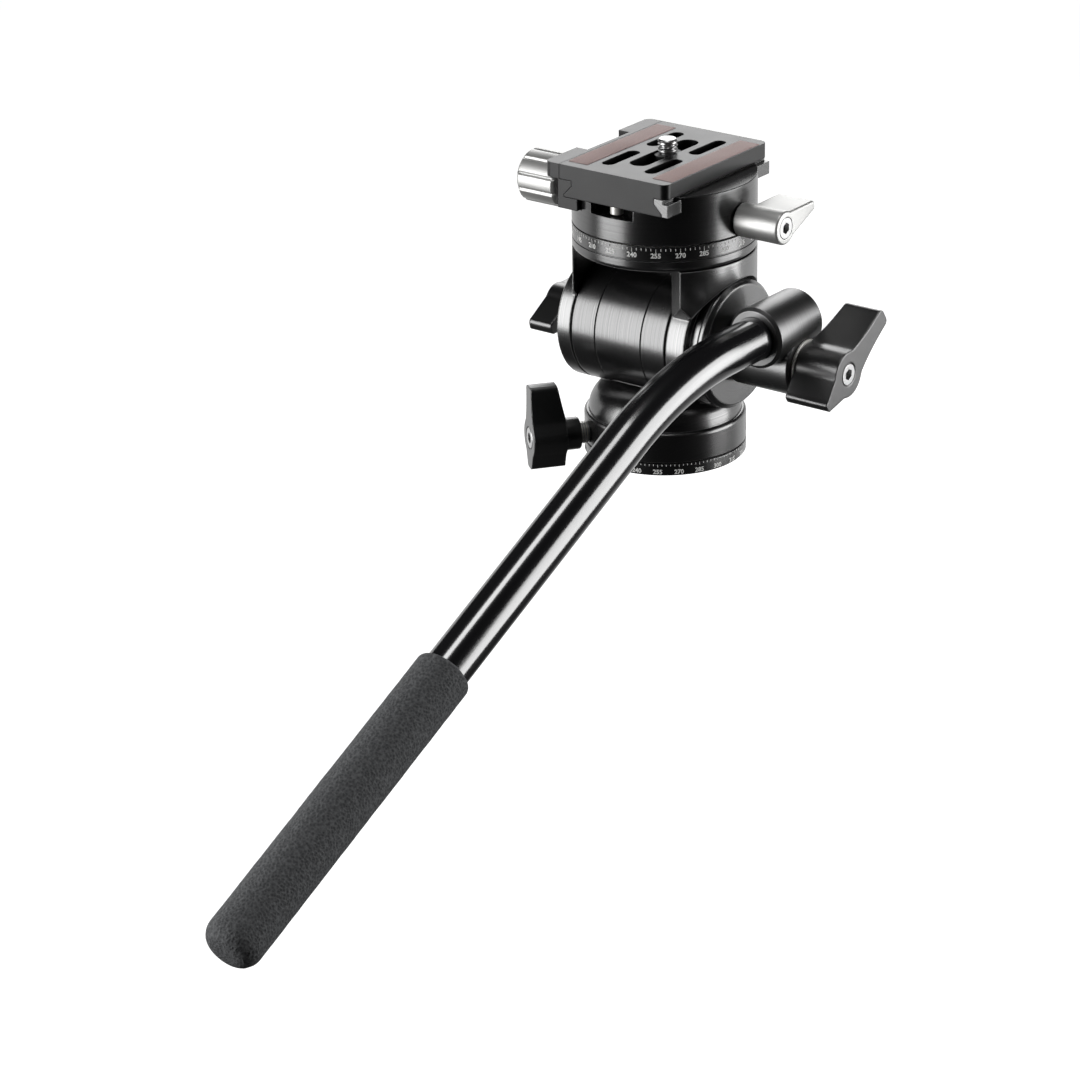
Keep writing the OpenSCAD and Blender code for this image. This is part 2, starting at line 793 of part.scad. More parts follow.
// Foam grip over the end of the tube
module grip() {
    color("dimgray") in_bend_plane() rotate([0, 0, bend_angle])
        translate([bend_r, grip_start - bend_tangent, 0]) rotate([-90, 0, 0]) difference() {
            rotate_extrude() intersection() {
                grip_profile();
                square([grip_r, grip_l]);
            }
            translate([0, 0, -past]) cylinder(r = tube_r + seat_gap, h = grip_l - tube_end_gap + past);
        }
}

// Handle lock lever outside the bracket
module handle_lever() {
    color("black") translate([handle_lever_x, 0, pivot_z]) rotate([0, 90, 0])
        rotate([0, 0, 90 + wing_angle])
            lock_lever(lever_hub_r, lever_wing, lever_nub, wing_tip_w, nub_tip_w, wing_flare,
                lever_depth, 0, 0, bolt_r);
}

// Bolt from the handle lever through the bracket into the right arm
module handle_bolt() {
    tip_x = boss_x1 - bolt_engage;
    color("silver") translate([tip_x, 0, pivot_z]) rotate([0, 90, 0])
        socket_bolt(bolt_r, bolt_head_r, bolt_head_h, handle_lever_x + lever_depth - tip_x);
}

// Bright washer between the bracket and its lever
module handle_washer() {
    color("silver") translate([bracket_x1, 0, pivot_z]) rotate([0, 90, 0])
        ring(handle_washer_r, bolt_r + seat_gap, handle_washer_h);
}

// Space of the clamp channel: a floor, a ledge for the moving jaw and the fixed undercut
module channel_profile() {
    polygon([[-2 * head_r, ledge_z], [step_x, ledge_z], [step_x, floor_z],
        [half_dovetail + jaw_gap, floor_z], [half_dovetail + jaw_gap, dovetail_z + foot_h],
        [waist + jaw_gap, waist_z], [waist + jaw_gap, plate_top], [-2 * head_r, plate_top]]);
}

// Takes the sharp corner off an upright edge; the signs give the corner's way out
module corner_cut(x, y, side, end) {
    translate([x - side * corner_r, y - end * corner_r, jaw_bottom]) difference() {
        translate([min(0, side * past), min(0, end * past), 0]) cube([past, past, plate_top]);
        translate([0, 0, -past]) cylinder(r = corner_r, h = plate_top + 2 * past);
    }
}

// Draws an XZ outline along Y over the length of the plate
module along_plate(length) {
    translate([0, length / 2, 0]) rotate([90, 0, 0]) linear_extrude(length) children();
}

// Round head with the clamp channel, the fixed jaw and the end recesses
module upper_body() {
    bar_x = waist;
    color("gray") difference() {
        union() {
            translate([0, 0, head_z0]) soft_disc(head_r, head_h, edge / 2);
            difference() {
                translate([bar_x, -plate_l / 2, floor_z + side_gap / 2])
                    cube([fixed_jaw_x - bar_x, plate_l, jaw_top - floor_z - side_gap / 2]);
                translate([fixed_jaw_x - rabbet, -plate_l, jaw_top - rabbet + edge])
                    cube([rabbet + past, 2 * plate_l, rabbet + past]);
            }
        }
        along_plate(4 * head_r) channel_profile();
        for (y = [recess_y, -recess_y - head_r]) {
            translate([-recess_half, y, recess_z]) cube([2 * recess_half, head_r, past]);
        }
        translate([0, 0, head_z0 - past])
            cylinder(r = hub_r + run_gap, h = hub_top - head_z0 + side_gap + past);
        cylinder(r = upper_bolt_r + run_gap, h = head_top);
        translate([0, 0, floor_z - side_gap - upper_bolt_head_h - run_gap])
            cylinder(r = upper_bolt_head_r + side_gap, h = upper_bolt_head_h + past);
        rod_x(upper_stud_r + run_gap, hub_r - edge, head_r + past, 0, upper_lock_z);
        translate([-head_r - past, clamp_screw_y - neck_r - side_gap, screw_z - neck_r - side_gap])
            cube([head_r + past + step_x + neck_slot_over, 2 * (neck_r + side_gap),
                floor_z - screw_z + neck_r + side_gap]);
        rod_x(clamp_screw_r + run_gap, step_x, clamp_screw_tip + edge, clamp_screw_y, screw_z);
        for (y = [-pin_y, pin_y]) {
            rod_x(pin_r + run_gap, step_x - edge, pin_tip + edge, y, ledge_z + pin_rise);
        }
    }
}

// Brass shoe of the upper pan lock
module upper_shoe() {
    start = hub_r + side_gap;
    color("goldenrod") rod_x(upper_stud_r, start, start + upper_shoe_l, 0, upper_lock_z);
}

// Silver lever of the upper pan lock with one wing towards the back
module upper_lever() {
    lean = 12;
    hub_part = 3;
    color("silver") translate([upper_lever_x, 0, upper_lock_z]) rotate([0, 90, 0]) difference() {
        union() {
            cylinder(r = upper_hub_r, h = upper_lever_l);
            translate([0, 0, hub_part]) rotate([0, 0, 90 + lean]) linear_extrude(upper_lever_l - hub_part)
                polygon([[0, upper_hub_r - edge], [upper_wing, upper_tip_w / 2],
                    [upper_wing, -upper_tip_w / 2], [0, edge - upper_hub_r]]);
        }
        translate([0, 0, -past]) cylinder(r = upper_stud_r + seat_gap, h = upper_lever_l + 2 * past);
        translate([0, 0, upper_lever_l - bolt_head_h]) cylinder(r = bolt_head_r + seat_gap, h = past);
    }
}

// Steel stud of the upper pan lock
module upper_stud() {
    start = hub_r + side_gap + upper_shoe_l + tip_gap;
    color("silver") translate([start, 0, upper_lock_z]) rotate([0, 90, 0])
        socket_bolt(upper_stud_r, bolt_head_r, bolt_head_h, upper_lever_x + upper_lever_l - start);
}

// Outline of the moving jaw with its undercut and its top flange
module jaw_profile() {
    polygon([[leg_x, jaw_bottom], [jaw_in_x, jaw_bottom], [jaw_in_x, floor_z - run_gap],
        [-half_dovetail - jaw_gap, floor_z - run_gap], [-half_dovetail - jaw_gap, dovetail_z + foot_h],
        [-waist - jaw_gap, waist_z], [-waist - jaw_gap, jaw_top], [flange_x0, jaw_top],
        [flange_x0, plate_top], [flange_x1, plate_top], [flange_x1, jaw_top], [leg_x, jaw_top]]);
}

// Moving jaw with its finger notch and the neck round the clamp screw
module clamp_jaw() {
    color("gray") difference() {
        union() {
            difference() {
                along_plate(plate_l) jaw_profile();
                translate([flange_x1 - past, notch_y0, slab_z - past])
                    cube([notch_x - flange_x1 + past, notch_y1 - notch_y0, plate_slab_h + 2 * past]);
                for (end = [-1, 1]) {
                    corner_cut(flange_x1, end * plate_l / 2, -1, end);
                }
            }
            rod_x(neck_r, neck_x, leg_x + edge, clamp_screw_y, screw_z);
            translate([leg_x, clamp_screw_y - neck_r, screw_z - neck_r])
                cube([jaw_in_x - leg_x, 2 * neck_r, floor_z - run_gap - screw_z + neck_r]);
        }
        rod_x(clamp_screw_r + run_gap, neck_x - past, jaw_in_x + past, clamp_screw_y, screw_z);
        for (y = [-pin_y, pin_y]) {
            rod_x(pin_r + seat_gap, leg_x + edge, jaw_in_x + past, y, ledge_z + pin_rise);
        }
    }
}

// Two guide pins of the moving jaw
module jaw_pins() {
    color("silver") for (y = [-pin_y, pin_y]) {
        rod_x(pin_r, leg_x + edge, pin_tip, y, ledge_z + pin_rise);
    }
}

// Silver clamp knob with narrow grooves along it
module clamp_knob() {
    grooves = 10;
    groove_r = 0.8;
    groove_out = 0.2;
    color("silver") translate([clamp_knob_x, clamp_screw_y, screw_z]) rotate([0, -90, 0]) difference() {
        soft_disc(clamp_knob_d / 2, clamp_knob_l, 2 * edge);
        for (i = [0:grooves - 1]) {
            rotate([0, 0, 360 * i / grooves]) translate([clamp_knob_d / 2 + groove_out, 0, -past])
                cylinder(r = groove_r, h = clamp_knob_l + 2 * past);
        }
        translate([0, 0, -past])
            cylinder(r = clamp_screw_r + seat_gap, h = clamp_knob_l - knob_end_wall + past);
    }
}

// Steel collar between the clamp knob and the jaw neck
module clamp_collar() {
    color("silver") translate([clamp_knob_x, clamp_screw_y, screw_z]) rotate([0, 90, 0])
        ring(collar_r, clamp_screw_r + seat_gap, collar_l - run_gap);
}

// Clamp screw from the knob through the jaw into the round head
module clamp_screw() {
    color("silver") rod_x(clamp_screw_r, clamp_knob_x - clamp_knob_l + knob_end_wall, clamp_screw_tip,
        clamp_screw_y, screw_z);
}

// Clip that makes the jaw follow the screw both ways
module clamp_clip() {
    color("silver") translate([jaw_in_x + run_gap, clamp_screw_y, screw_z]) rotate([0, 90, 0])
        ring(clip_r, clamp_screw_r + seat_gap, clip_w);
}

// Outline of the plate with its dovetail
module plate_profile() {
    polygon([[-plate_w / 2, plate_top], [-plate_w / 2, slab_z], [-waist, slab_z], [-waist, waist_z],
        [-half_dovetail, dovetail_z + foot_h], [-half_dovetail, dovetail_z],
        [half_dovetail, dovetail_z], [half_dovetail, dovetail_z + foot_h], [waist, waist_z],
        [waist, slab_z], [plate_w / 2, slab_z], [plate_w / 2, plate_top]]);
}

// An upright slot along Y with round ends
module slot(x, y0, y1, w, z0, z1) {
    translate([x - w / 2, y0 + w / 2, z0]) cube([w, y1 - y0 - w, z1 - z0]);
    for (y = [y0 + w / 2, y1 - w / 2]) {
        translate([x, y, z0]) cylinder(r = w / 2, h = z1 - z0);
    }
}

// Camera plate with its slots and strip seats
module plate() {
    color("gray") difference() {
        along_plate(plate_l) plate_profile();
        for (side = [-1, 1]) {
            translate([side * strip_x, 0, plate_top - strip_sink + past / 2])
                cube([strip_w + 2 * seat_gap, plate_l - 2 * strip_end + 2 * seat_gap, past], center = true);
            slot(side * slot_x, slot_near, slot_far, slot_w, dovetail_z - past, plate_top + past);
            slot(side * slot_x, -slot_far, -slot_near, slot_w, dovetail_z - past, plate_top + past);
            translate([0, side * stop_y, dovetail_z - past])
                cylinder(r = stop_shank_r + seat_gap, h = stop_shank_l + past);
            corner_cut(plate_w / 2, side * plate_l / 2, 1, side);
        }
        slot(0, -main_slot_half, main_slot_half, main_slot_w, dovetail_z - past, plate_top + past);
        slot(0, -under_slot_half, under_slot_half, under_slot_w, dovetail_z - past, under_slot_z);
    }
}

// Two rubber strips on the plate
module plate_strips() {
    color("rosybrown") for (side = [-1, 1]) {
        translate([side * strip_x, 0, plate_top - strip_sink + strip_h / 2])
            cube([strip_w, plate_l - 2 * strip_end, strip_h], center = true);
    }
}

// Two stop screws under the ends of the plate
module plate_stops() {
    color("silver") for (side = [-1, 1]) {
        translate([0, side * stop_y, dovetail_z - stop_h]) {
            cylinder(r = stop_r, h = stop_h);
            cylinder(r = stop_shank_r, h = stop_h + stop_shank_l - edge);
        }
    }
}

// Slider that carries the camera screw along the middle slot
module screw_slider() {
    slider_w = main_slot_w - 2 * run_gap;
    color("dimgray") translate([0, camera_screw_y, 0]) difference() {
        slot(0, -slider_half_l, slider_half_l, slider_w, under_slot_z + run_gap, plate_top - edge);
        cylinder(r = camera_shank_r + run_gap, h = plate_top + past);
    }
}

// Camera screw with a coin slot in its head under the plate
module camera_screw() {
    coin_w = 1.6;
    coin_depth = 1.2;
    head_z = under_slot_z - run_gap - screw_head_h;
    color("silver") translate([0, camera_screw_y, 0]) difference() {
        union() {
            translate([0, 0, head_z]) cylinder(r = screw_head_r, h = screw_head_h);
            translate([0, 0, head_z]) cylinder(r = camera_shank_r, h = plate_top + edge - head_z);
            translate([0, 0, plate_top]) soft_disc(camera_screw_r, camera_screw_h, edge);
        }
        translate([-screw_head_r - past, -coin_w / 2, head_z - past])
            cube([2 * (screw_head_r + past), coin_w, coin_depth + past]);
    }
}

base_plate();
thread_bush();
pan_washer();
pan_body();
pan_set_screws();
pan_shoe();
housing_left();
housing_right();
tilt_bushes();
pan_lever();
pan_stud();
yoke_disc();
left_arm();
right_arm();
yoke_screws();
tilt_shaft();
rotor_left();
rotor_right();
rosette();
upper_bolt();
upper_washer();
tilt_lever();
tilt_stud();
handle_bracket();
handle_tube();
grip();
handle_lever();
handle_bolt();
handle_washer();
upper_body();
upper_shoe();
upper_lever();
upper_stud();
clamp_jaw();
jaw_pins();
clamp_knob();
clamp_collar();
clamp_screw();
clamp_clip();
plate();
plate_strips();
plate_stops();
screw_slider();
camera_screw();
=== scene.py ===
"""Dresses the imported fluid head: finishes, detail pieces, light and camera.

Sizes are in millimetres, and a piece is scaled to metres when it is added to the scene. Sizes of
the floor and the lamps are in metres. Angles are in degrees.
"""

from __future__ import annotations

import logging
import math
from collections.abc import Callable, Sequence
from dataclasses import dataclass, replace
from enum import Enum

import bmesh
import bpy
from mathutils import Euler, Matrix, Vector, noise


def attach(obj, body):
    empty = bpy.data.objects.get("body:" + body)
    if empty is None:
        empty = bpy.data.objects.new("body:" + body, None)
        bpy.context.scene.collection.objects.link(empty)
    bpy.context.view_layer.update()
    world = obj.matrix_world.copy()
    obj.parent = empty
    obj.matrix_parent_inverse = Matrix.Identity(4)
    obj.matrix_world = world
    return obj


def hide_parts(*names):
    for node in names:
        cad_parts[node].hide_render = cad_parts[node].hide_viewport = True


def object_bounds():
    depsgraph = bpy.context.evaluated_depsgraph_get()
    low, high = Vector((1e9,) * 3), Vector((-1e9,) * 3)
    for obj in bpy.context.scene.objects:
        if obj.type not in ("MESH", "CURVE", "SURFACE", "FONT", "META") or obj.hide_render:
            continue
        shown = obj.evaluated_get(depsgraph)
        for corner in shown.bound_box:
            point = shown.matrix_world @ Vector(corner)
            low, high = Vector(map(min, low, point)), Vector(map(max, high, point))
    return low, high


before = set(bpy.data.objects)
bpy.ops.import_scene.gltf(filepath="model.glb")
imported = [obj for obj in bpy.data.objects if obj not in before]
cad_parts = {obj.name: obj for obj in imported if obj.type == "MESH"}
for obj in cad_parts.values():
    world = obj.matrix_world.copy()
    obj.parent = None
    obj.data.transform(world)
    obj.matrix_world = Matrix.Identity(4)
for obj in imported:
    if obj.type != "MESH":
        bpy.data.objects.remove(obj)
CAD_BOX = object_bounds()
MM = 0.001
LOG = logging.getLogger("fluid_head")

Point = tuple[float, float]
Place = tuple[float, float, float]
Colour = tuple[float, float, float]
Shape = bmesh.types.BMesh
Thing = bpy.types.Object
Node = bpy.types.Node
Socket = bpy.types.NodeSocket
Tree = bpy.types.NodeTree

ORIGIN: Place = (0.0, 0.0, 0.0)
WHITE = (1.0, 1.0, 1.0, 1.0)
# Rows of points in one pitch of a thread, the least number of rows, and how steep the flanks are
THREAD_ROWS = 10
THREAD_LEAST = 8
THREAD_FLANK = 1.25
# Faces round a small, a middling and a large turned piece
SMALL_ROUND = 48
MIDDLE_ROUND = 64
LARGE_ROUND = 96
# A ring with a smaller radius is a pole, and points nearer than the next value are welded
POLE = 1e-6
WELD = 1e-4
# Edges sharper than this angle stay sharp
CREASE = 40.0
# Energy of an area lamp for each unit of its radiance and area
LAMP_ENERGY = 4.0


class Axis(Enum):
    """Direction that a turned piece's own axis follows, with the turn that brings it to Z."""

    X = (0.0, -90.0, 0.0)
    Y = (90.0, 0.0, 0.0)
    Z = (0.0, 0.0, 0.0)

    def to_z(self) -> Euler:
        """Returns the turn from this axis to Z."""
        return Euler([math.radians(angle) for angle in self.value])


class Blend(Enum):
    """What other shapes do to a shape."""

    CUT = "DIFFERENCE"
    FUSE = "UNION"


@dataclass
class NodePen:
    """Writes nodes and links into one shader or geometry tree."""

    tree: Tree

    def add(self, kind: str, **settings: object) -> Node:
        """Adds one node.

        Args:
            kind: Blender's name of the node type.
            settings: Properties to set on the node.

        Returns:
            The new node.
        """
        node = self.tree.nodes.new(kind)
        for key, value in settings.items():
            setattr(node, key, value)
        return node

    def feed(self, target: Socket, value: object) -> None:
        """Gives a socket a link or a plain value.

        Args:
            target: The socket to feed.
            value: A socket to link from, or a value to set.
        """
        if isinstance(value, Socket):
            self.tree.links.new(value, target)
        else:
            target.default_value = value

    def fill(self, node: Node, values: dict[str, object]) -> Node:
        """Feeds a node's named inputs.

        Args:
            node: The node.
            values: Sockets or plain values by the name of the input.

        Returns:
            The node.
        """
        for name, value in values.items():
            self.feed(node.inputs[name], value)
        return node

    def put(self, kind: str, **values: object) -> Socket:
        """Adds a node and feeds its inputs.

        Args:
            kind: Blender's name of the node type.
            values: Sockets or plain values by the name of the input.

        Returns:
            The node's first output.
        """
        return self.fill(self.add(kind), values).outputs[0]

    def math(self, operation: str, *values: object, kind: str = "ShaderNodeMath") -> Socket:
        """Adds a node that gives one number.

        Args:
            operation: Blender's name of the operation.
            values: Sockets or values for its inputs.
            kind: Blender's name of the node type.

        Returns:
            The result socket.
        """
        node = self.add(kind, operation=operation)
        for target, value in zip(node.inputs, values):
            self.feed(target, value)
        return node.outputs["Value"]

    def split(self, vector: Socket) -> list[Socket]:
        """Returns the X, Y and Z of a vector socket."""
        return list(self.fill(self.add("ShaderNodeSeparateXYZ"), {"Vector": vector}).outputs)

    def reach(self, first: Socket, second: Socket) -> Socket:
        """Returns the length of the diagonal of two lengths."""
        square = self.math("MULTIPLY", second, second)
        return self.math("SQRT", self.math("MULTIPLY_ADD", first, first, square))

    def spread(
        self, value: Socket, low: float, high: float, start: float = 0.0, end: float = 1.0
    ) -> Socket:
        """Maps a value from one range onto another.

        Args:
            value: The socket to map.
            low: The result at the start.
            high: The result at the end.
            start: The value that gives the low result.
            end: The value that gives the high result.

        Returns:
            The mapped socket.
        """
        limits = {"From Min": start, "From Max": end, "To Min": low, "To Max": high}
        node = self.fill(self.add("ShaderNodeMapRange"), {"Value": value, **limits})
        return node.outputs["Result"]

    def mix(self, share: Socket, first: Colour, second: Colour) -> Socket:
        """Mixes two colours.

        Args:
            share: How much of the second colour shows.
            first: The colour at 0.
            second: The colour at 1.

        Returns:
            The mixed colour socket.
        """
        node = self.fill(self.add("ShaderNodeMix", data_type="RGBA"), {"Factor": share})
        targets = [socket for socket in node.inputs if socket.type == "RGBA"]
        for target, colour in zip(targets, (first, second)):
            self.feed(target, (*colour, 1.0))
        return next(socket for socket in node.outputs if socket.type == "RGBA")

    def group(self, tree: Tree, **values: object) -> bpy.types.NodeOutputs:
        """Places a shader group.

        Args:
            tree: The group's tree.
            values: Sockets or values for its named inputs.

        Returns:
            The group's outputs.
        """
        return self.fill(self.add("ShaderNodeGroup", node_tree=tree), values).outputs

    def mapped(self, axis: Axis = Axis.Z, centre: Place = ORIGIN) -> Socket:
        """Puts the object's coordinates on a turned piece's own axis.

        Args:
            axis: The axis that becomes Z.
            centre: A point of that axis.

        Returns:
            The mapped coordinates.
        """
        turn = axis.to_z()
        shift = -(turn.to_matrix() @ (Vector(centre) * MM))
        own = self.add("ShaderNodeTexCoord").outputs["Object"]
        return self.put("ShaderNodeMapping", Vector=own, Rotation=turn, Location=shift)


Sockets = dict[str, Socket]


def new_tree(
    name: str, kind: str, inputs: dict[str, str], outputs: dict[str, str]
) -> tuple[NodePen, Sockets, Sockets]:
    """Starts a node group.

    Args:
        name: The group's name.
        kind: Blender's name of the tree type.
        inputs: Socket type of each named input.
        outputs: Socket type of each named output.

    Returns:
        A pen for the group, its input sockets and its output sockets by name.
    """
    tree = bpy.data.node_groups.new(name, kind)
    for way, sockets in (("INPUT", inputs), ("OUTPUT", outputs)):
        for label, value in sockets.items():
            tree.interface.new_socket(label, in_out=way, socket_type=f"NodeSocket{value}")
    pen = NodePen(tree)
    start = {socket.name: socket for socket in pen.add("NodeGroupInput").outputs if socket.name}
    end = {socket.name: socket for socket in pen.add("NodeGroupOutput").inputs if socket.name}
    return pen, start, end


def built_once(build: Callable[[str], Tree]) -> Callable[[], Tree]:
    """Lets a node group be built on first use only, under the name of its function.

    Args:
        build: Makes the group under the name that it is given.

    Returns:
        A function that finds the group or builds it.
    """

    def found() -> Tree:
        """Returns the group."""
        return bpy.data.node_groups.get(build.__name__) or build(build.__name__)

    return found


class Effects:
    """Shader groups that several finishes share."""

    EDGE_SAMPLES = 6
    EDGE_GAIN = 4.0
    RING_DETAIL = 3.0
    # Share of the scale and the detail of each texture of the grain
    GRAIN = {"Height": (1.0, 2.0), "Patches": (0.03, 4.0)}

    @staticmethod
    @built_once
    def soft_edges(name: str) -> Tree:
        """Returns the group that rounds edges in the shading and masks them for a painted highlight."""
        outputs = {"Normal": "Vector", "Edge": "Float"}
        pen, given, out = new_tree(name, "ShaderNodeTree", {"Radius": "Float"}, outputs)
        bevel = pen.add("ShaderNodeBevel", samples=Effects.EDGE_SAMPLES)
        soft = pen.fill(bevel, {"Radius": given["Radius"]}).outputs["Normal"]
        plain = pen.add("ShaderNodeNewGeometry").outputs["Normal"]
        alike = pen.math("DOT_PRODUCT", soft, plain, kind="ShaderNodeVectorMath")
        turned = pen.math("MULTIPLY", pen.math("SUBTRACT", 1.0, alike), Effects.EDGE_GAIN)
        pen.feed(out["Normal"], soft)
        pen.feed(out["Edge"], pen.math("MINIMUM", turned, 1.0))
        return pen.tree

    @staticmethod
    @built_once
    def turned_lines(name: str) -> Tree:
        """Returns the group of fine rings that a lathe leaves round Z."""
        inputs = {"Vector": "Vector", "Pitch": "Float"}
        pen, given, out = new_tree(name, "ShaderNodeTree", inputs, {"Height": "Float"})
        x, y, z = pen.split(given["Vector"])
        along = pen.math("DIVIDE", pen.math("ADD", pen.reach(y, x), z), given["Pitch"])
        rings = pen.add("ShaderNodeTexNoise", noise_dimensions="1D")
        pen.fill(rings, {"W": along, "Scale": 1.0, "Detail": Effects.RING_DETAIL})
        pen.feed(out["Height"], rings.outputs[0])
        return pen.tree

    @staticmethod
    @built_once
    def fine_grain(name: str) -> Tree:
        """Returns the group of a fine grain and the broad patches that handling leaves."""
        inputs = {"Vector": "Vector", "Scale": "Float"}
        outputs = {"Height": "Float", "Patches": "Float"}
        pen, given, out = new_tree(name, "ShaderNodeTree", inputs, outputs)
        for label, (share, detail) in Effects.GRAIN.items():
            scale = pen.math("MULTIPLY", given["Scale"], share)
            place = given["Vector"]
            texture = pen.put("ShaderNodeTexNoise", Vector=place, Scale=scale, Detail=detail)
            pen.feed(out[label], texture)
        return pen.tree


@dataclass(frozen=True)
class Finish:
    """A surface finish with a name."""

    name: str

    def material(self) -> bpy.types.Material:
        """Returns the finish's material, built on first use."""
        label = f"finish_{self.name}"
        known = bpy.data.materials.get(label)
        if known:
            return known
        material = bpy.data.materials.new(label)
        material.use_nodes = True
        material.node_tree.nodes.clear()
        pen = NodePen(material.node_tree)
        shader = pen.add("ShaderNodeBsdfPrincipled")
        pen.fill(pen.add("ShaderNodeOutputMaterial"), {"Surface": shader.outputs["BSDF"]})
        self.write(pen, shader)
        return material

    @staticmethod
    def grain(pen: NodePen, place: Socket, size: float) -> bpy.types.NodeOutputs:
        """Adds a fine grain.

        Args:
            pen: Pen on the material's tree.
            place: Coordinates to follow.
            size: Size of one grain.

        Returns:
            The outputs Height and Patches.
        """
        return pen.group(Effects.fine_grain(), Vector=place, Scale=1.0 / (size * MM))

    def write(self, pen: NodePen, shader: Node) -> None:
        """Writes the finish's nodes; each kind of finish has its own.

        Args:
            pen: Pen on the material's tree.
            shader: The material's shader node.
        """
        raise NotImplementedError


@dataclass(frozen=True)
class Machined(Finish):
    """Turned or milled metal, bare or anodised, with soft edges painted lighter as a highlight, and a fine
    grain.
    """

    colour: Colour = (0.003, 0.003, 0.0033)
    # Colour painted on the edges: a painted highlight along them
    edge_colour: Colour = (0.06, 0.06, 0.062)
    metallic: float = 0.0
    roughness: float = 0.26
    roughness_play: float = 0.03
    specular: float = 0.95
    index: float = 1.65
    line_pitch: float = 0.5
    line_depth: float = 0.0035
    line_gloss: float = 0.25
    grain_size: float = 0.25
    grain_depth: float = 0.0015
    edge_radius: float = 0.35
    axis: Axis = Axis.Z
    centre: Place = ORIGIN

    def about(self, name: str, axis: Axis, centre: Place) -> Machined:
        """Returns the same finish turned about another axis.

        Args:
            name: The name of the new finish.
            axis: Its turning axis.
            centre: A point of that axis.
        """
        return replace(self, name=name, axis=axis, centre=centre)

    def write(self, pen: NodePen, shader: Node) -> None:
        """Writes colour with a painted highlight on the edges, roughness, relief and the gloss of the
        turned lines.

        Args:
            pen: Pen on the material's tree.
            shader: The material's shader node.
        """
        place = pen.mapped(self.axis, self.centre)
        edges = pen.group(Effects.soft_edges(), Radius=self.edge_radius * MM)
        lines = pen.group(Effects.turned_lines(), Vector=place, Pitch=self.line_pitch * MM)["Height"]
        grain = self.grain(pen, place, self.grain_size)
        rough = pen.math("MULTIPLY", grain["Height"], self.grain_depth * MM)
        relief = pen.math("MULTIPLY_ADD", lines, self.line_depth * MM, rough)
        bump = pen.put("ShaderNodeBump", Height=relief, Distance=1.0, Normal=edges["Normal"])
        low, high = self.roughness - self.roughness_play, self.roughness + self.roughness_play
        values = {
            # Edges mix towards the edge colour: a painted highlight
            "Base Color": pen.mix(edges["Edge"], self.colour, self.edge_colour),
            "Metallic": self.metallic,
            "Roughness": pen.spread(grain["Patches"], low, high),
            "Specular IOR Level": self.specular,
            "IOR": self.index,
            "Normal": bump,
        }
        pen.fill(shader, values)
        if self.line_gloss > 0:
            dull, shiny = self.specular * (1.0 - self.line_gloss), self.specular * (1.0 + self.line_gloss)
            pen.fill(shader, {"Specular IOR Level": pen.spread(lines, dull, shiny)})


@dataclass(frozen=True)
class Patterned(Finish):
    """Two colours that mix over a fine pattern, with its relief and uneven gloss."""

    first: Colour
    second: Colour
    roughness: Point
    grain_size: float
    depth: float = 0.0
    specular: float = 0.5
    index: float = 1.5

    def pattern(self, pen: NodePen, place: Socket, grain: Socket) -> tuple[Socket, Socket]:
        """Makes the pattern; each kind of finish has its own.

        Args:
            pen: Pen on the material's tree.
            place: Coordinates to follow.
            grain: Height of the fine grain.

        Returns:
            The share of the second colour, and the height of the relief.
        """
        raise NotImplementedError

    def write(self, pen: NodePen, shader: Node) -> None:
        """Writes colour, roughness and relief.

        Args:
            pen: Pen on the material's tree.
            shader: The material's shader node.
        """
        place = pen.mapped()
        grain = self.grain(pen, place, self.grain_size)
        share, height = self.pattern(pen, place, grain["Height"])
        values = {
            "Base Color": pen.mix(share, self.first, self.second),
            "Roughness": pen.spread(grain["Patches"], *self.roughness),
            "Specular IOR Level": self.specular,
            "IOR": self.index,
        }
        if self.depth > 0:
            values["Normal"] = pen.put("ShaderNodeBump", Height=height, Distance=self.depth * MM)
        pen.fill(shader, values)


@dataclass(frozen=True)
class Lacquer(Patterned):
    """Glossy lacquer over a drawn tube, with a slight peel and a trace of dust."""

    speck: float = 0.2
    speck_power: float = 8.0
    speck_share: float = 0.8

    def pattern(self, pen: NodePen, place: Socket, grain: Socket) -> tuple[Socket, Socket]:
        """Returns specks of dust as colour and the grain as peel."""
        specks = self.grain(pen, place, self.speck)["Height"]
        few = pen.math("POWER", specks, self.speck_power)
        return pen.math("MULTIPLY", few, self.speck_share), grain


@dataclass(frozen=True)
class Foam(Patterned):
    """Soft closed-cell foam with open pores on its skin."""

    pore: float = 0.9
    contrast: float = 2.2

    def pattern(self, pen: NodePen, place: Socket, grain: Socket) -> tuple[Socket, Socket]:
        """Returns the pores as colour and relief."""
        cells = pen.put("ShaderNodeTexVoronoi", Vector=place, Scale=1.0 / (self.pore * MM))
        shade = pen.math("MULTIPLY", pen.math("MULTIPLY", cells, grain), self.contrast)
        mask = pen.math("MINIMUM", shade, 1.0)
        return mask, mask


@dataclass(frozen=True)
class Rubber(Patterned):
    """Brown rubber facing with a fine crossed texture."""

    cell: float = 0.7
    weave: Point = (0.5, 1.0)

    def pattern(self, pen: NodePen, place: Socket, grain: Socket) -> tuple[Socket, Socket]:
        """Returns crossed ribs with their grain as colour and the ribs as relief."""
        x, y, _ = pen.split(place)
        rate = 2.0 * math.pi / (self.cell * MM)
        waves = []
        for sign in (1.0, -1.0):
            slope = pen.math("MULTIPLY_ADD", x, sign, y)
            waves.append(pen.math("SINE", pen.math("MULTIPLY", slope, rate)))
        ribs = pen.spread(pen.math("MULTIPLY", *waves), *self.weave)
        return pen.math("MULTIPLY", ribs, grain), ribs


@dataclass(frozen=True)
class Ink(Patterned):
    """Engraved marks filled with white paint."""

    wear_power: float = 3.0

    def pattern(self, pen: NodePen, place: Socket, grain: Socket) -> tuple[Socket, Socket]:
        """Returns the paint's thin places as colour, and the grain."""
        return pen.math("POWER", grain, self.wear_power), grain


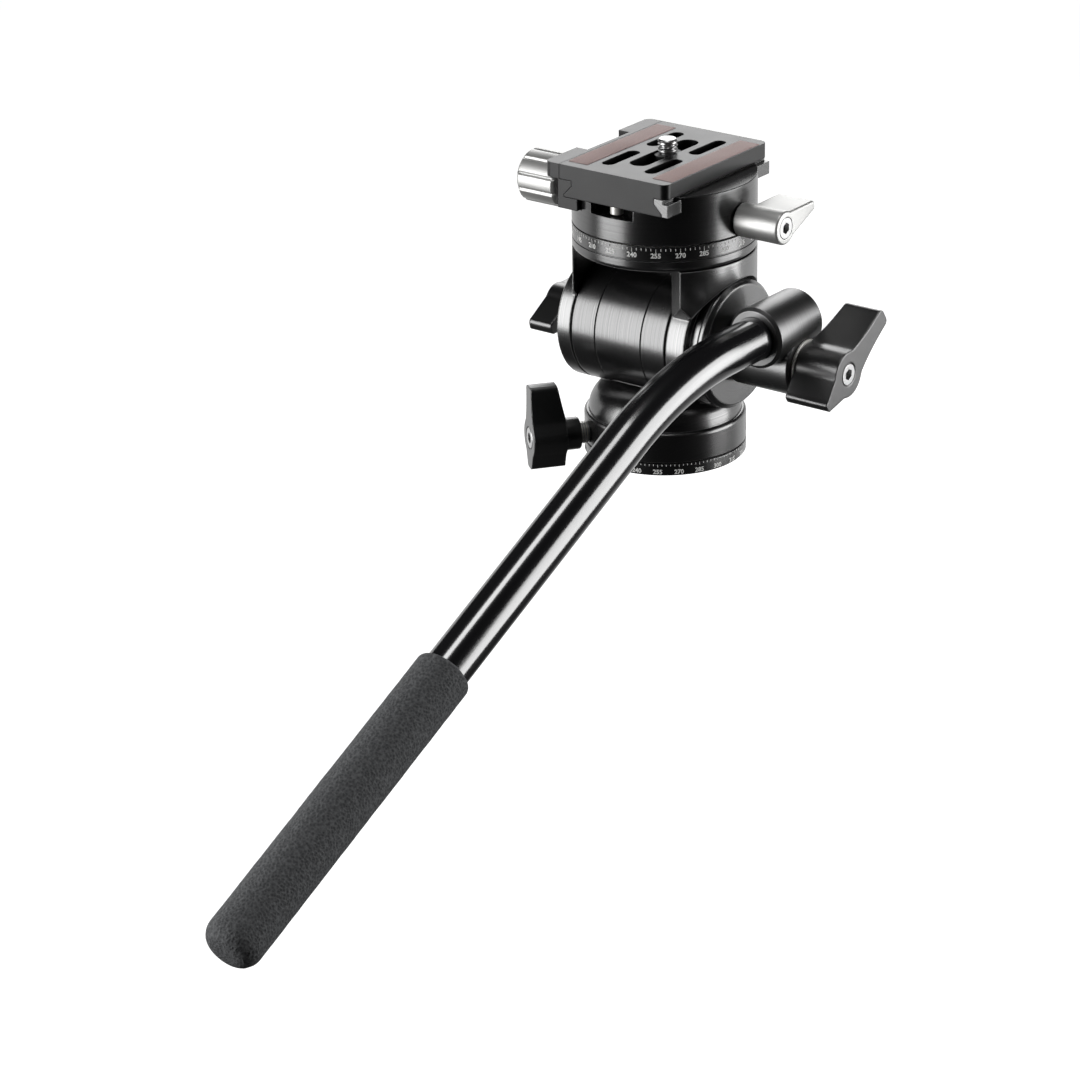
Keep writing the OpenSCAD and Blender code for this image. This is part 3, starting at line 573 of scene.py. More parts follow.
@dataclass(frozen=True)
class PaleFloor(Finish):
    """Floor that is white to the camera, and behind the object to reflections too."""

    azimuth: float
    dark: Colour = (0.04, 0.04, 0.04)
    pale: Colour = (0.5, 0.5, 0.5)
    roughness: float = 0.9
    lift: Point = (0.74, 0.97)
    lift_span: Point = (0.25, 0.9)
    white_span: Point = (0.2, 0.5)

    def write(self, pen: NodePen, shader: Node) -> None:
        """Writes the floor's colour and the light that it gives off.

        Args:
            pen: Pen on the material's tree.
            shader: The material's shader node.
        """
        angle = math.radians(self.azimuth)
        backward = (-math.sin(angle), math.cos(angle), 0.0)
        place = pen.add("ShaderNodeTexCoord").outputs["Object"]
        behind = pen.math("DOT_PRODUCT", place, backward, kind="ShaderNodeVectorMath")
        away = pen.math("LENGTH", place, kind="ShaderNodeVectorMath")
        white = pen.spread(behind, 0.0, 1.0, *self.white_span)
        lift = pen.spread(away, *self.lift, *self.lift_span)
        path = pen.add("ShaderNodeLightPath").outputs
        direct = path["Is Camera Ray"]
        mirrored = pen.math("MAXIMUM", path["Is Glossy Ray"], path["Is Transmission Ray"])
        seen = [pen.math("MULTIPLY", direct, lift), pen.math("MULTIPLY", mirrored, white)]
        values = {
            "Base Color": pen.mix(direct, self.dark, self.pale),
            "Roughness": self.roughness,
            "Specular IOR Level": 0.0,
            "Emission Color": WHITE,
            "Emission Strength": pen.math("MAXIMUM", *seen),
        }
        pen.fill(shader, values)


# Each finish's edge colour is a painted highlight along its edges
ANODISED = Machined("black_anodised")
CAST = Machined(
    "lever_black",
    colour=(0.007, 0.007, 0.0075),
    edge_colour=(0.05, 0.05, 0.05),
    roughness=0.29,
    edge_radius=0.9,
    line_depth=0.0,
    line_gloss=0.0,
    grain_size=0.22,
    grain_depth=0.008,
)
PLATE = replace(
    ANODISED, name="plate_anodised", roughness=0.36, specular=0.24, line_depth=0.0, line_gloss=0.0
)
SLIDER = replace(ANODISED, name="slider_black", colour=(0.003, 0.003, 0.003), roughness=0.5, specular=0.25)
SILVER = Machined(
    "silver",
    colour=(0.5, 0.5, 0.49),
    edge_colour=(0.8, 0.8, 0.8),
    metallic=0.75,
    roughness=0.42,
    line_pitch=0.3,
    line_depth=0.0025,
    grain_depth=0.001,
)
STEEL = Machined(
    "steel",
    colour=(0.5, 0.5, 0.5),
    edge_colour=(0.72, 0.72, 0.72),
    metallic=1.0,
    roughness=0.3,
    line_pitch=0.25,
    line_depth=0.002,
    grain_depth=0.001,
    edge_radius=0.15,
)
BRIGHT = replace(
    SILVER, name="bright_zinc", colour=(0.75, 0.74, 0.7), edge_colour=(0.85, 0.85, 0.82), metallic=0.55
)
BRASS = replace(STEEL, name="brass", colour=(0.6, 0.42, 0.18), edge_colour=(0.8, 0.62, 0.3))
WASHER = replace(CAST, name="washer", colour=(0.55, 0.54, 0.5), edge_colour=(0.65, 0.64, 0.6))
LACQUER = Lacquer(
    "black_gloss",
    first=(0.006, 0.006, 0.007),
    second=(0.03, 0.03, 0.03),
    roughness=(0.12, 0.22),
    grain_size=2.5,
    depth=0.006,
    specular=0.95,
    index=1.7,
)
FOAM = Foam(
    "foam",
    first=(0.045, 0.046, 0.048),
    second=(0.13, 0.133, 0.137),
    roughness=(0.82, 0.98),
    grain_size=0.6,
    depth=0.22,
    specular=0.25,
)
RUBBER = Rubber(
    "pad",
    first=(0.42, 0.3, 0.285),
    second=(0.66, 0.5, 0.48),
    roughness=(0.55, 0.8),
    grain_size=0.5,
    depth=0.08,
)
INK = Ink(
    "white_marks",
    first=(0.85, 0.85, 0.83),
    second=(0.55, 0.55, 0.55),
    roughness=(0.5, 0.7),
    grain_size=0.4,
)


def fillet(corners: Sequence[Place], steps: int = 6) -> list[Point]:
    """Rounds the corners of an open outline.

    Args:
        corners: Each corner's two coordinates and the radius that rounds it.
        steps: Straight pieces in each arc.

    Returns:
        The outline's points.
    """
    points: list[Point] = []
    for i, (x, y, radius) in enumerate(corners):
        if radius <= 0 or i in (0, len(corners) - 1):
            points.append((x, y))
            continue
        here = Vector((x, y))
        back = (Vector(corners[i - 1][:2]) - here).normalized()
        ahead = (Vector(corners[i + 1][:2]) - here).normalized()
        half = back.angle(ahead) / 2.0
        centre = here + (back + ahead).normalized() * (radius / math.sin(half))
        start = here + back * (radius / math.tan(half)) - centre
        end = here + ahead * (radius / math.tan(half)) - centre
        first = math.atan2(start.y, start.x)
        sweep = math.remainder(math.atan2(end.y, end.x) - first, 2.0 * math.pi)
        for k in range(steps + 1):
            angle = first + sweep * k / steps
            points.append((centre.x + radius * math.cos(angle), centre.y + radius * math.sin(angle)))
    return points


def circle(radius: float, height: float, turns: int) -> list[Place]:
    """Returns points at equal angles round Z.

    Args:
        radius: The circle's radius.
        height: Its height.
        turns: How many points it has.
    """
    angles = [2.0 * math.pi * i / turns for i in range(turns)]
    return [(radius * math.cos(a), radius * math.sin(a), height) for a in angles]


def skin(rings: Sequence[Sequence[Place]], closed: bool = True, capped: bool = False) -> Shape:
    """Stretches a skin over rings of points.

    Args:
        rings: Rings with the same count of points; a pole is a ring with one point.
        closed: Whether the last ring joins the first.
        capped: Whether a face closes the first ring and the last.

    Returns:
        The shape with its faces turned outward.
    """
    shape = bmesh.new()
    made = [[shape.verts.new(point) for point in ring] for ring in rings]
    turns = max(len(ring) for ring in made)
    if capped:
        shape.faces.new(made[0])
        shape.faces.new(made[-1])
    following = made[1:] + made[:1] if closed else made[1:]
    for low, high in zip(made, following):
        for i in range(turns):
            j = (i + 1) % turns
            corners = [low[i % len(low)], low[j % len(low)], high[j % len(high)], high[i % len(high)]]
            loop = list(dict.fromkeys(corners))
            if len(loop) > 2:
                shape.faces.new(loop)
    bmesh.ops.recalc_face_normals(shape, faces=shape.faces)
    return shape


def lathe(profile: Sequence[Point], turns: int, closed: bool = False) -> Shape:
    """Turns an outline about Z.

    Args:
        profile: Points of radius and height.
        turns: Faces round the axis.
        closed: Whether the last point joins the first.

    Returns:
        The turned shape.
    """
    return skin([circle(r, height, turns if r > POLE else 1) for r, height in profile], closed)


def prism(outline: Sequence[Point], low: float, high: float) -> Shape:
    """Stands an outline up on Z.

    Args:
        outline: The closed outline's points.
        low: Height of the lower face.
        high: Height of the upper face.

    Returns:
        The closed shape.
    """
    rings = [[(x, y, height) for x, y in outline] for height in (low, high)]
    return skin(rings, closed=False, capped=True)


def block(low: Place, high: Place) -> Shape:
    """Returns the box between its lowest corner and its highest."""
    outline = [low[:2], (high[0], low[1]), high[:2], (low[0], high[1])]
    return prism(outline, low[2], high[2])


def linked(name: str, data: bpy.types.ID) -> Thing:
    """Makes an object.

    Args:
        name: The object's name.
        data: Its mesh, curve, lamp or camera.

    Returns:
        The object, linked to the scene.
    """
    thing = bpy.data.objects.new(name, data)
    bpy.context.scene.collection.objects.link(thing)
    return thing


def loose_object(name: str, shape: Shape) -> Thing:
    """Makes an object of a shape and frees the shape.

    Args:
        name: The object's name.
        shape: The shape.

    Returns:
        The object, linked to the scene.
    """
    mesh = bpy.data.meshes.new(name)
    shape.to_mesh(mesh)
    shape.free()
    return linked(name, mesh)


def evaluated(thing: Thing) -> Shape:
    """Takes an object's evaluated mesh as a shape.

    Args:
        thing: The object, with its modifiers.

    Returns:
        The shape after the modifiers.
    """
    bpy.context.view_layer.update()
    mesh = bpy.data.meshes.new_from_object(thing.evaluated_get(bpy.context.evaluated_depsgraph_get()))
    shape = bmesh.new()
    shape.from_mesh(mesh)
    bpy.data.meshes.remove(mesh)
    return shape


def drop(thing: Thing) -> None:
    """Removes a helper object and its mesh."""
    mesh = thing.data
    bpy.data.objects.remove(thing)
    bpy.data.meshes.remove(mesh)


def softened(shape: Shape, width: float, segments: int, angle: float = 50.0) -> Shape:
    """Rounds a shape's sharp edges.

    Args:
        shape: The shape, which is used up.
        width: How far the rounding reaches.
        segments: Faces across the rounding.
        angle: The least angle of an edge that is rounded.

    Returns:
        The rounded shape.
    """
    thing = loose_object("helper_soft", shape)
    bevel = thing.modifiers.new("round", "BEVEL")
    bevel.width = width
    bevel.segments = segments
    bevel.angle_limit = math.radians(angle)
    bevel.use_clamp_overlap = True
    result = evaluated(thing)
    drop(thing)
    return result


def blended(way: Blend, shape: Shape, *others: Shape) -> Shape:
    """Cuts shapes out of a shape, or fuses them with it.

    Args:
        way: Whether to cut or to fuse.
        shape: The shape, which is used up.
        others: The other shapes, which are used up.

    Returns:
        The new shape.
    """
    thing = loose_object("helper_blend", shape)
    tools = [loose_object("helper_tool", other) for other in others]
    for tool in tools:
        step = thing.modifiers.new("blend", "BOOLEAN")
        step.operation = way.value
        step.solver = "EXACT"
        step.object = tool
    result = evaluated(thing)
    for helper in (thing, *tools):
        drop(helper)
    return result


def moved(shape: Shape, matrix: Matrix) -> Shape:
    """Puts a shape in place and returns it."""
    bmesh.ops.transform(shape, matrix=matrix, verts=shape.verts)
    return shape


def stand(place: Place, *turns: tuple[float, str]) -> Matrix:
    """Makes the matrix that turns a shape and moves it to its place.

    Args:
        place: Where the shape's origin goes.
        turns: Angle and axis of each turn; the last is made first.

    Returns:
        The matrix.
    """
    matrix = Matrix.Translation(place)
    for angle, axis in turns:
        matrix = matrix @ Matrix.Rotation(math.radians(angle), 4, axis)
    return matrix


def joined(*shapes: Shape) -> Shape:
    """Puts several shapes into one.

    Args:
        shapes: The shapes, which are used up.

    Returns:
        One shape that holds them all.
    """
    result = bmesh.new()
    for shape in shapes:
        mesh = bpy.data.meshes.new("helper_join")
        shape.to_mesh(mesh)
        shape.free()
        result.from_mesh(mesh)
        bpy.data.meshes.remove(mesh)
    return result


def thread(
    radius: float, depth: float, pitch: float, low: float, high: float, turns: int = SMALL_ROUND
) -> list[list[Place]]:
    """Points of a screw thread's surface round Z.

    Args:
        radius: Radius of the crest.
        depth: Depth of the root; below zero for a thread inside a bore.
        pitch: Height of one turn.
        low: Where the thread starts.
        high: Where it ends.
        turns: Points round the axis.

    Returns:
        Rows of points from low to high.
    """
    rows = []
    count = max(THREAD_LEAST, round((high - low) / pitch * THREAD_ROWS))
    for k in range(count + 1):
        height = low + (high - low) * k / count
        fade = min(1.0, (height - low) / pitch, (high - height) / pitch)
        row = []
        for i in range(turns):
            phase = (height / pitch - i / turns) % 1.0
            root = max(0.0, 1.0 - abs(2.0 * phase - 1.0) * THREAD_FLANK)
            r = radius - depth * root * max(0.0, fade)
            angle = 2.0 * math.pi * i / turns
            row.append((r * math.cos(angle), r * math.sin(angle), height))
        rows.append(row)
    return rows


def paint(mesh: bpy.types.Mesh, finish: Finish) -> None:
    """Leaves a mesh with one finish.

    Args:
        mesh: The mesh.
        finish: Its finish.
    """
    mesh.materials.clear()
    mesh.materials.append(finish.material())


def add_piece(
    name: str, shape: Shape, body: str, finish: Finish, stands_for: Sequence[str] = ()
) -> Thing:
    """Turns a shape in millimetres into a finished piece that rides on a body.

    Args:
        name: The piece's name.
        shape: The shape, which is used up.
        body: The body that carries it.
        finish: Its finish.
        stands_for: Names of the solids that it replaces.

    Returns:
        The piece.
    """
    bmesh.ops.remove_doubles(shape, verts=shape.verts, dist=WELD)
    bmesh.ops.recalc_face_normals(shape, faces=shape.faces)
    moved(shape, Matrix.Scale(MM, 4))
    piece = loose_object(name, shape)
    piece.data.shade_smooth()
    piece.data.set_sharp_from_angle(angle=math.radians(CREASE))
    paint(piece.data, finish)
    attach(piece, body)
    if stands_for:
        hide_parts(*stands_for)
    LOG.info("piece %s on %s: %d faces", name, body, len(piece.data.polygons))
    return piece


def dress(finish: Finish, *nodes: str) -> None:
    """Gives solids their finish.

    Args:
        finish: The finish.
        nodes: Names of the solids.
    """
    for name in nodes:
        paint(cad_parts[name].data, finish)
        LOG.info("dressed %s with %s", name, finish.name)


class NodeMaker:
    """Geometry Nodes trees for what repeats."""

    @staticmethod
    def end(pen: NodePen, made: Socket, given: Sockets, out: Sockets) -> Tree:
        """Ends a tree in Realize Instances and Set Material.

        Args:
            pen: The tree's pen.
            made: The geometry made so far.
            given: The tree's inputs, with the material among them.
            out: The tree's outputs.

        Returns:
            The finished tree.
        """
        real = pen.put("GeometryNodeRealizeInstances", Geometry=made)
        dressed = pen.put("GeometryNodeSetMaterial", Geometry=real, Material=given["Material"])
        pen.feed(out["Geometry"], dressed)
        return pen.tree

    @staticmethod
    @built_once
    def bars_on_circle(name: str) -> Tree:
        """Returns the tree that sets small bars round Z, each turned to the axis."""
        inputs = {"Count": "Int", "Radius": "Float", "Size": "Vector", "Height": "Float"}
        inputs["Material"] = "Material"
        pen, given, out = new_tree(name, "GeometryNodeTree", inputs, {"Geometry": "Geometry"})
        points = pen.put("GeometryNodeMeshCircle", Vertices=given["Count"], Radius=given["Radius"])
        bar = pen.put("GeometryNodeMeshCube", Size=given["Size"])
        step = pen.math("DIVIDE", 2.0 * math.pi, given["Count"])
        angle = pen.math("MULTIPLY", pen.put("GeometryNodeInputIndex"), step)
        turn = pen.put("ShaderNodeCombineXYZ", Z=angle)
        bars = pen.put("GeometryNodeInstanceOnPoints", Points=points, Instance=bar, Rotation=turn)
        lift = pen.put("ShaderNodeCombineXYZ", Z=given["Height"])
        raised = pen.put("GeometryNodeTransform", Geometry=bars, Translation=lift)
        return NodeMaker.end(pen, raised, given, out)

    @staticmethod
    @built_once
    def fluted_wall(name: str) -> Tree:
        """Returns the tree that presses round flutes into a turned wall on Z."""
        inputs = {"Wall": "Geometry", "Count": "Int", "Material": "Material"}
        inputs |= {label: "Float" for label in ("Depth", "Sharpness", "Core")}
        pen, given, out = new_tree(name, "GeometryNodeTree", inputs, {"Geometry": "Geometry"})
        x, y, _ = pen.split(pen.put("GeometryNodeInputPosition"))
        radius = pen.reach(x, y)
        wave = pen.math("COSINE", pen.math("MULTIPLY", pen.math("ARCTAN2", y, x), given["Count"]))
        dip = pen.math("POWER", pen.math("MULTIPLY_ADD", wave, 0.5, 0.5), given["Sharpness"])
        outside = pen.math("GREATER_THAN", radius, given["Core"])
        inward = pen.math("MULTIPLY", pen.math("MULTIPLY", dip, outside), given["Depth"])
        share = pen.math("DIVIDE", inward, pen.math("MAXIMUM", radius, 0.001))
        back = [pen.math("MULTIPLY", pen.math("MULTIPLY", side, share), -1.0) for side in (x, y)]
        offset = pen.put("ShaderNodeCombineXYZ", X=back[0], Y=back[1])
        pressed = pen.put("GeometryNodeSetPosition", Geometry=given["Wall"], Offset=offset)
        return NodeMaker.end(pen, pressed, given, out)

    @staticmethod
    def run(tree: Tree, values: dict[str, object], base: Shape | None = None) -> Shape:
        """Runs a tree once and takes its mesh.

        Args:
            tree: The geometry tree.
            values: Values of its named inputs.
            base: A shape for its geometry input, which is used up.

        Returns:
            The shape that the tree makes.
        """
        thing = loose_object("helper_nodes", base or bmesh.new())
        step = thing.modifiers.new("nodes", "NODES")
        step.node_group = tree
        for item in tree.interface.items_tree:
            if item.in_out == "INPUT" and item.name in values:
                step[item.identifier] = values[item.name]
        result = evaluated(thing)
        thing.modifiers.remove(step)
        drop(thing)
        return result


@dataclass
class Scale:
    """White ticks and numbers round a turned wall."""

    radius: float
    tick_top: float
    number_mid: float
    number_size: float = 1.6
    figure_share: float = 0.72
    minor_step: int = 3
    major_step: int = 15
    minor_length: float = 0.8
    major_length: float = 1.3
    tick_width: float = 0.2
    proud: float = 0.03
    zero: int = 225
    weight: float = 0.05

    def ticks(self, step: int, length: float) -> Shape:
        """Makes one ring of ticks.

        Args:
            step: Degrees between ticks.
            length: Height of a tick.

        Returns:
            The ring.
        """
        values = {
            "Count": 360 // step,
            "Radius": self.radius,
            "Size": (2.0 * self.proud, self.tick_width, length),
            "Height": self.tick_top - length / 2.0,
            "Material": INK.material(),
        }
        return NodeMaker.run(NodeMaker.bars_on_circle(), values)

    def number(self, degrees: int) -> Shape:
        """Makes one number, bent round the wall.

        Args:
            degrees: The number's place, which reads on from the scale's zero.

        Returns:
            The bent number.
        """
        curve = bpy.data.curves.new("helper_number", "FONT")
        curve.body = str((degrees + self.zero) % 360)
        curve.size = self.number_size / self.figure_share
        curve.align_x = "CENTER"
        curve.align_y = "CENTER"
        curve.extrude = self.proud
        curve.offset = self.weight
        curve.resolution_u = 3
        thing = linked("helper_number", curve)
        shape = evaluated(thing)
        bpy.data.objects.remove(thing)
        bpy.data.curves.remove(curve)
        for corner in shape.verts:
            angle = math.radians(degrees) + corner.co.x / self.radius
            reach = self.radius + corner.co.z
            height = self.number_mid + corner.co.y
            corner.co = (reach * math.sin(angle), -reach * math.cos(angle), height)
        return shape

    def build(self) -> Shape:
        """Returns the ticks and the numbers as one shape."""
        numbers = [self.number(degrees) for degrees in range(0, 360, self.major_step)]
        minor = self.ticks(self.minor_step, self.minor_length)
        major = self.ticks(self.major_step, self.major_length)
        return joined(minor, major, *numbers)


@dataclass
class Lever:
    """Cast lever with a hub, a long wing and a short one, drawn on Z."""

    hub: float
    reach: float
    nub: float
    tip: float
    nub_tip: float
    depth: float
    collar: float = 0.0
    collar_height: float = 0.0
    collar_lap: float = 0.4
    collar_round: float = 0.5
    bolt_head: float = 3.62
    bolt_sink: float = 3.2
    bore: float = 2.52
    flare: float = 2.6
    lift: float = 2.4
    rounding: float = 1.1
    root_inset: float = 0.5
    tip_round: float = 1.6
    tip_flat: float = 0.2
    seat_depth: float = 0.3
    seat_flare: float = 1.3
    past: float = 1.0
    wedge_past: float = 3.0
    steps: int = 24
    tip_steps: int = 5
    hub_steps: int = 10

    def side(self, reach: float, tip: float, flare: float) -> list[Point]:
        """Points of one side of a wing, from the hub to its rounded tip.

        Args:
            reach: Length of the wing.
            tip: Width of its end.
            flare: How sharply it widens towards the hub; one is straight.

        Returns:
            Points outside the hub, with positive width.
        """
        corner = min(self.tip_round, tip / 2.0 - self.tip_flat)
        points = []
        for i in range(self.steps + 1):
            u = (reach - corner) * i / self.steps
            half = tip / 2.0 + (self.hub - self.root_inset - tip / 2.0) * (1.0 - u / reach) ** flare
            if math.hypot(u, half) > self.hub:
                points.append((u, half))
        far, wide = reach - corner, points[-1][1] - corner
        for k in range(1, self.tip_steps + 1):
            angle = math.pi / 2.0 * k / self.tip_steps
            points.append((far + corner * math.sin(angle), wide + corner * math.cos(angle)))
        return points

    def outline(self) -> list[Point]:
        """Returns the closed outline: long wing along +X, short wing along -X."""
        long_side = self.side(self.reach, self.tip, self.flare)
        short_side = self.side(self.nub, self.nub_tip, 1.0)
        upper = self.hub_arc(long_side[0], short_side[0])
        top = long_side[::-1] + upper + [(-u, half) for u, half in short_side]
        return top + [(u, -half) for u, half in reversed(top)]

    def hub_arc(self, start: Point, end: Point) -> list[Point]:
        """Points of the hub between the two wings on the upper side.

        Args:
            start: Where the long wing leaves the hub.
            end: Where the short wing leaves it, with its reach as a positive number.

        Returns:
            Points between the two.
        """
        first = math.atan2(start[1], start[0])
        last = math.pi - math.atan2(end[1], end[0])
        angles = [first + (last - first) * k / self.hub_steps for k in range(1, self.hub_steps)]
        return [(self.hub * math.cos(a), self.hub * math.sin(a)) for a in angles]

    def wedge(self) -> Shape:
        """Returns the shape that slopes the inner side of the long wing away from the body."""
        end = self.reach + self.wedge_past
        rise = self.lift * (end - self.hub) / (self.reach - self.hub)
        side = [(self.hub, 0.0), (end, rise), (end, -self.wedge_past), (self.hub, -self.wedge_past)]
        shape = prism(side, -2.0 * self.hub, 2.0 * self.hub)
        return moved(shape, stand((0.0, 0.0, self.collar_height), (90, "X")))

    def build(self) -> Shape:
        """Returns the lever with soft edges, its collar and its bolt seat."""
        top = self.collar_height + self.depth
        body = blended(Blend.CUT, prism(self.outline(), self.collar_height, top), self.wedge())
        body = softened(body, self.rounding, 4)
        above, floor = top + self.past, top - self.bolt_sink
        hole = [(0, -self.past), (self.bore, -self.past), (self.bore, above), (0, above)]
        seat = [(0, floor), (self.bolt_head, floor), (self.bolt_head, top - self.seat_depth)]
        seat += [(self.bolt_head + self.seat_flare, above), (0, above)]
        body = blended(Blend.CUT, body, lathe(hole, SMALL_ROUND), lathe(seat, MIDDLE_ROUND))
        if self.collar_height <= 0:
            return body
        rim = self.collar_height + self.collar_lap
        ring = fillet([(self.bore, 0, 0), (self.collar, 0, self.collar_round), (self.collar, rim, 0)])
        return joined(body, lathe([*ring, (self.bore, rim)], LARGE_ROUND, closed=True))


@dataclass
class PanBase:
    """Foot ring with its scale and thread, and the pan body on it."""

    ring_radius: float = 26.65
    ring_height: float = 4.3
    tick_drop: float = 0.35
    number_mid: float = 1.35
    number_size: float = 1.5
    minor_length: float = 0.55
    major_length: float = 0.85
    bush_radius: float = 6.0
    bush_edge: float = 0.3
    bore: float = 4.0
    bore_relief: float = 0.2
    bore_mouth: float = 0.6
    thread_depth: float = 0.7
    thread_pitch: float = 1.5875
    thread_start: float = 0.4
    thread_length: float = 12.0

    def build(self) -> None:
        """Builds the scale and the threaded bush."""
        scale = Scale(
            self.ring_radius,
            self.ring_height - self.tick_drop,
            self.number_mid,
            number_size=self.number_size,
            minor_length=self.minor_length,
            major_length=self.major_length,
        )
        add_piece("base_scale", scale.build(), "base", INK)
        add_piece("tripod_bush", self.bush(), "base", replace(STEEL, name="bush_steel"), ["thread_bush"])

    def bush(self) -> Shape:
        """Returns the bush with its inner thread."""
        end = self.thread_length - self.bore_relief
        rows = thread(self.bore, -self.thread_depth, self.thread_pitch, self.thread_start, end)
        outer = [
            (self.bore + self.bore_relief, self.thread_length),
            (self.bush_radius, self.thread_length),
            (self.bush_radius, self.bush_edge),
            (self.bush_radius - self.bush_edge, 0),
            (self.bore + self.bore_mouth, 0),
        ]
        return skin(rows + [circle(radius, height, len(rows[0])) for radius, height in outer])

    def dress(self) -> None:
        """Gives the solids their finishes."""
        dress(ANODISED, "base_plate")
        dress(STEEL, "pan_set_screws")
        dress(BRASS, "pan_shoe")
        dress(WASHER, "pan_washer")


@dataclass
class PanLock:
    """Small lever on the front left of the pan body."""

    lever: Lever
    angle: float = 232.0
    start: float = 29.65
    height: float = 8.2
    thread_core: float = 2.95
    thread_root: float = 3.25
    thread_crest: float = 3.7
    thread_pitch: float = 0.85
    thread_turns: int = 3
    crest_share: Point = (0.35, 0.6)

    def bare_thread(self) -> Shape:
        """Returns the turns of thread that show between the body and the lever."""
        low = self.start - self.thread_pitch * self.thread_turns
        steps = [(self.thread_root, 0.0), *((self.thread_crest, share) for share in self.crest_share)]
        profile = [(self.thread_core, low)]
        for k in range(self.thread_turns):
            profile += [(radius, low + self.thread_pitch * (k + share)) for radius, share in steps]
        profile += [(self.thread_root, self.start), (self.thread_core, self.start)]
        lying = stand((0, 0, self.height), (self.angle, "Z"), (90, "Y"))
        return moved(lathe(profile, MIDDLE_ROUND, closed=True), lying)

    def build(self) -> None:
        """Builds the lever and the bare thread behind it."""
        radial = stand(ORIGIN, (self.angle, "Z"))
        place = radial @ stand((self.start, 0, self.height), (90, "Y"), (180, "Z"))
        add_piece("pan_lock_lever", moved(self.lever.build(), place), "pan_lock", CAST, ["pan_lever"])
        add_piece("pan_lock_thread", self.bare_thread(), "pan_lock", BRIGHT)

    def dress(self) -> None:
        """Gives the stud its finish."""
        dress(STEEL, "pan_stud")


@dataclass
class TiltDrum:
    """Centre drum with a damping housing on each side."""

    axis_height: float = 41.8

    def dress(self) -> None:
        """Gives the solids their finishes."""
        drum = ANODISED.about("drum_anodised", Axis.X, (0.0, 0.0, self.axis_height))
        drum = replace(drum, line_depth=0.006, line_gloss=0.3)
        dress(drum, "pan_body", "housing_left", "housing_right")
        dress(BRASS, "tilt_bushes")


@dataclass
class Yoke:
    """Graduated disc, the two arms and what turns with them."""

    disc_radius: float = 30.0
    disc_top: float = 79.0
    tick_drop: float = 0.5
    number_drop: float = 2.9
    axis_height: float = 41.8

    def build(self) -> None:
        """Builds the scale on the disc."""
        scale = Scale(self.disc_radius, self.disc_top - self.tick_drop, self.disc_top - self.number_drop)
        add_piece("disc_scale", scale.build(), "yoke", INK)

    def dress(self) -> None:
        """Gives the solids their finishes."""
        dress(ANODISED, "yoke_disc")
        arm = ANODISED.about("arm_anodised", Axis.X, (0.0, 0.0, self.axis_height))
        # Wider, lighter edge colour on the arms: a painted highlight along their front edges
        arm = replace(arm, edge_radius=0.8, edge_colour=(0.2, 0.2, 0.2), index=1.85)
        dress(arm, "left_arm", "right_arm")
        dress(STEEL, "yoke_screws", "tilt_shaft", "rotor_left", "rotor_right", "rosette", "upper_bolt")
        dress(WASHER, "upper_washer")


@dataclass
class TiltLock:
    """Lever on the left end of the tilt axis."""

    lever: Lever
    start: float = -28.8
    height: float = 41.8
    turn: float = 75.0

    def build(self) -> None:
        """Builds the lever."""
        place = stand((self.start, 0, self.height), (-90, "Y"), (self.turn, "Z"))
        add_piece("tilt_lock_lever", moved(self.lever.build(), place), "tilt_lock", CAST, ["tilt_lever"])

    def dress(self) -> None:
        """Gives the stud its finish."""
        dress(STEEL, "tilt_stud")


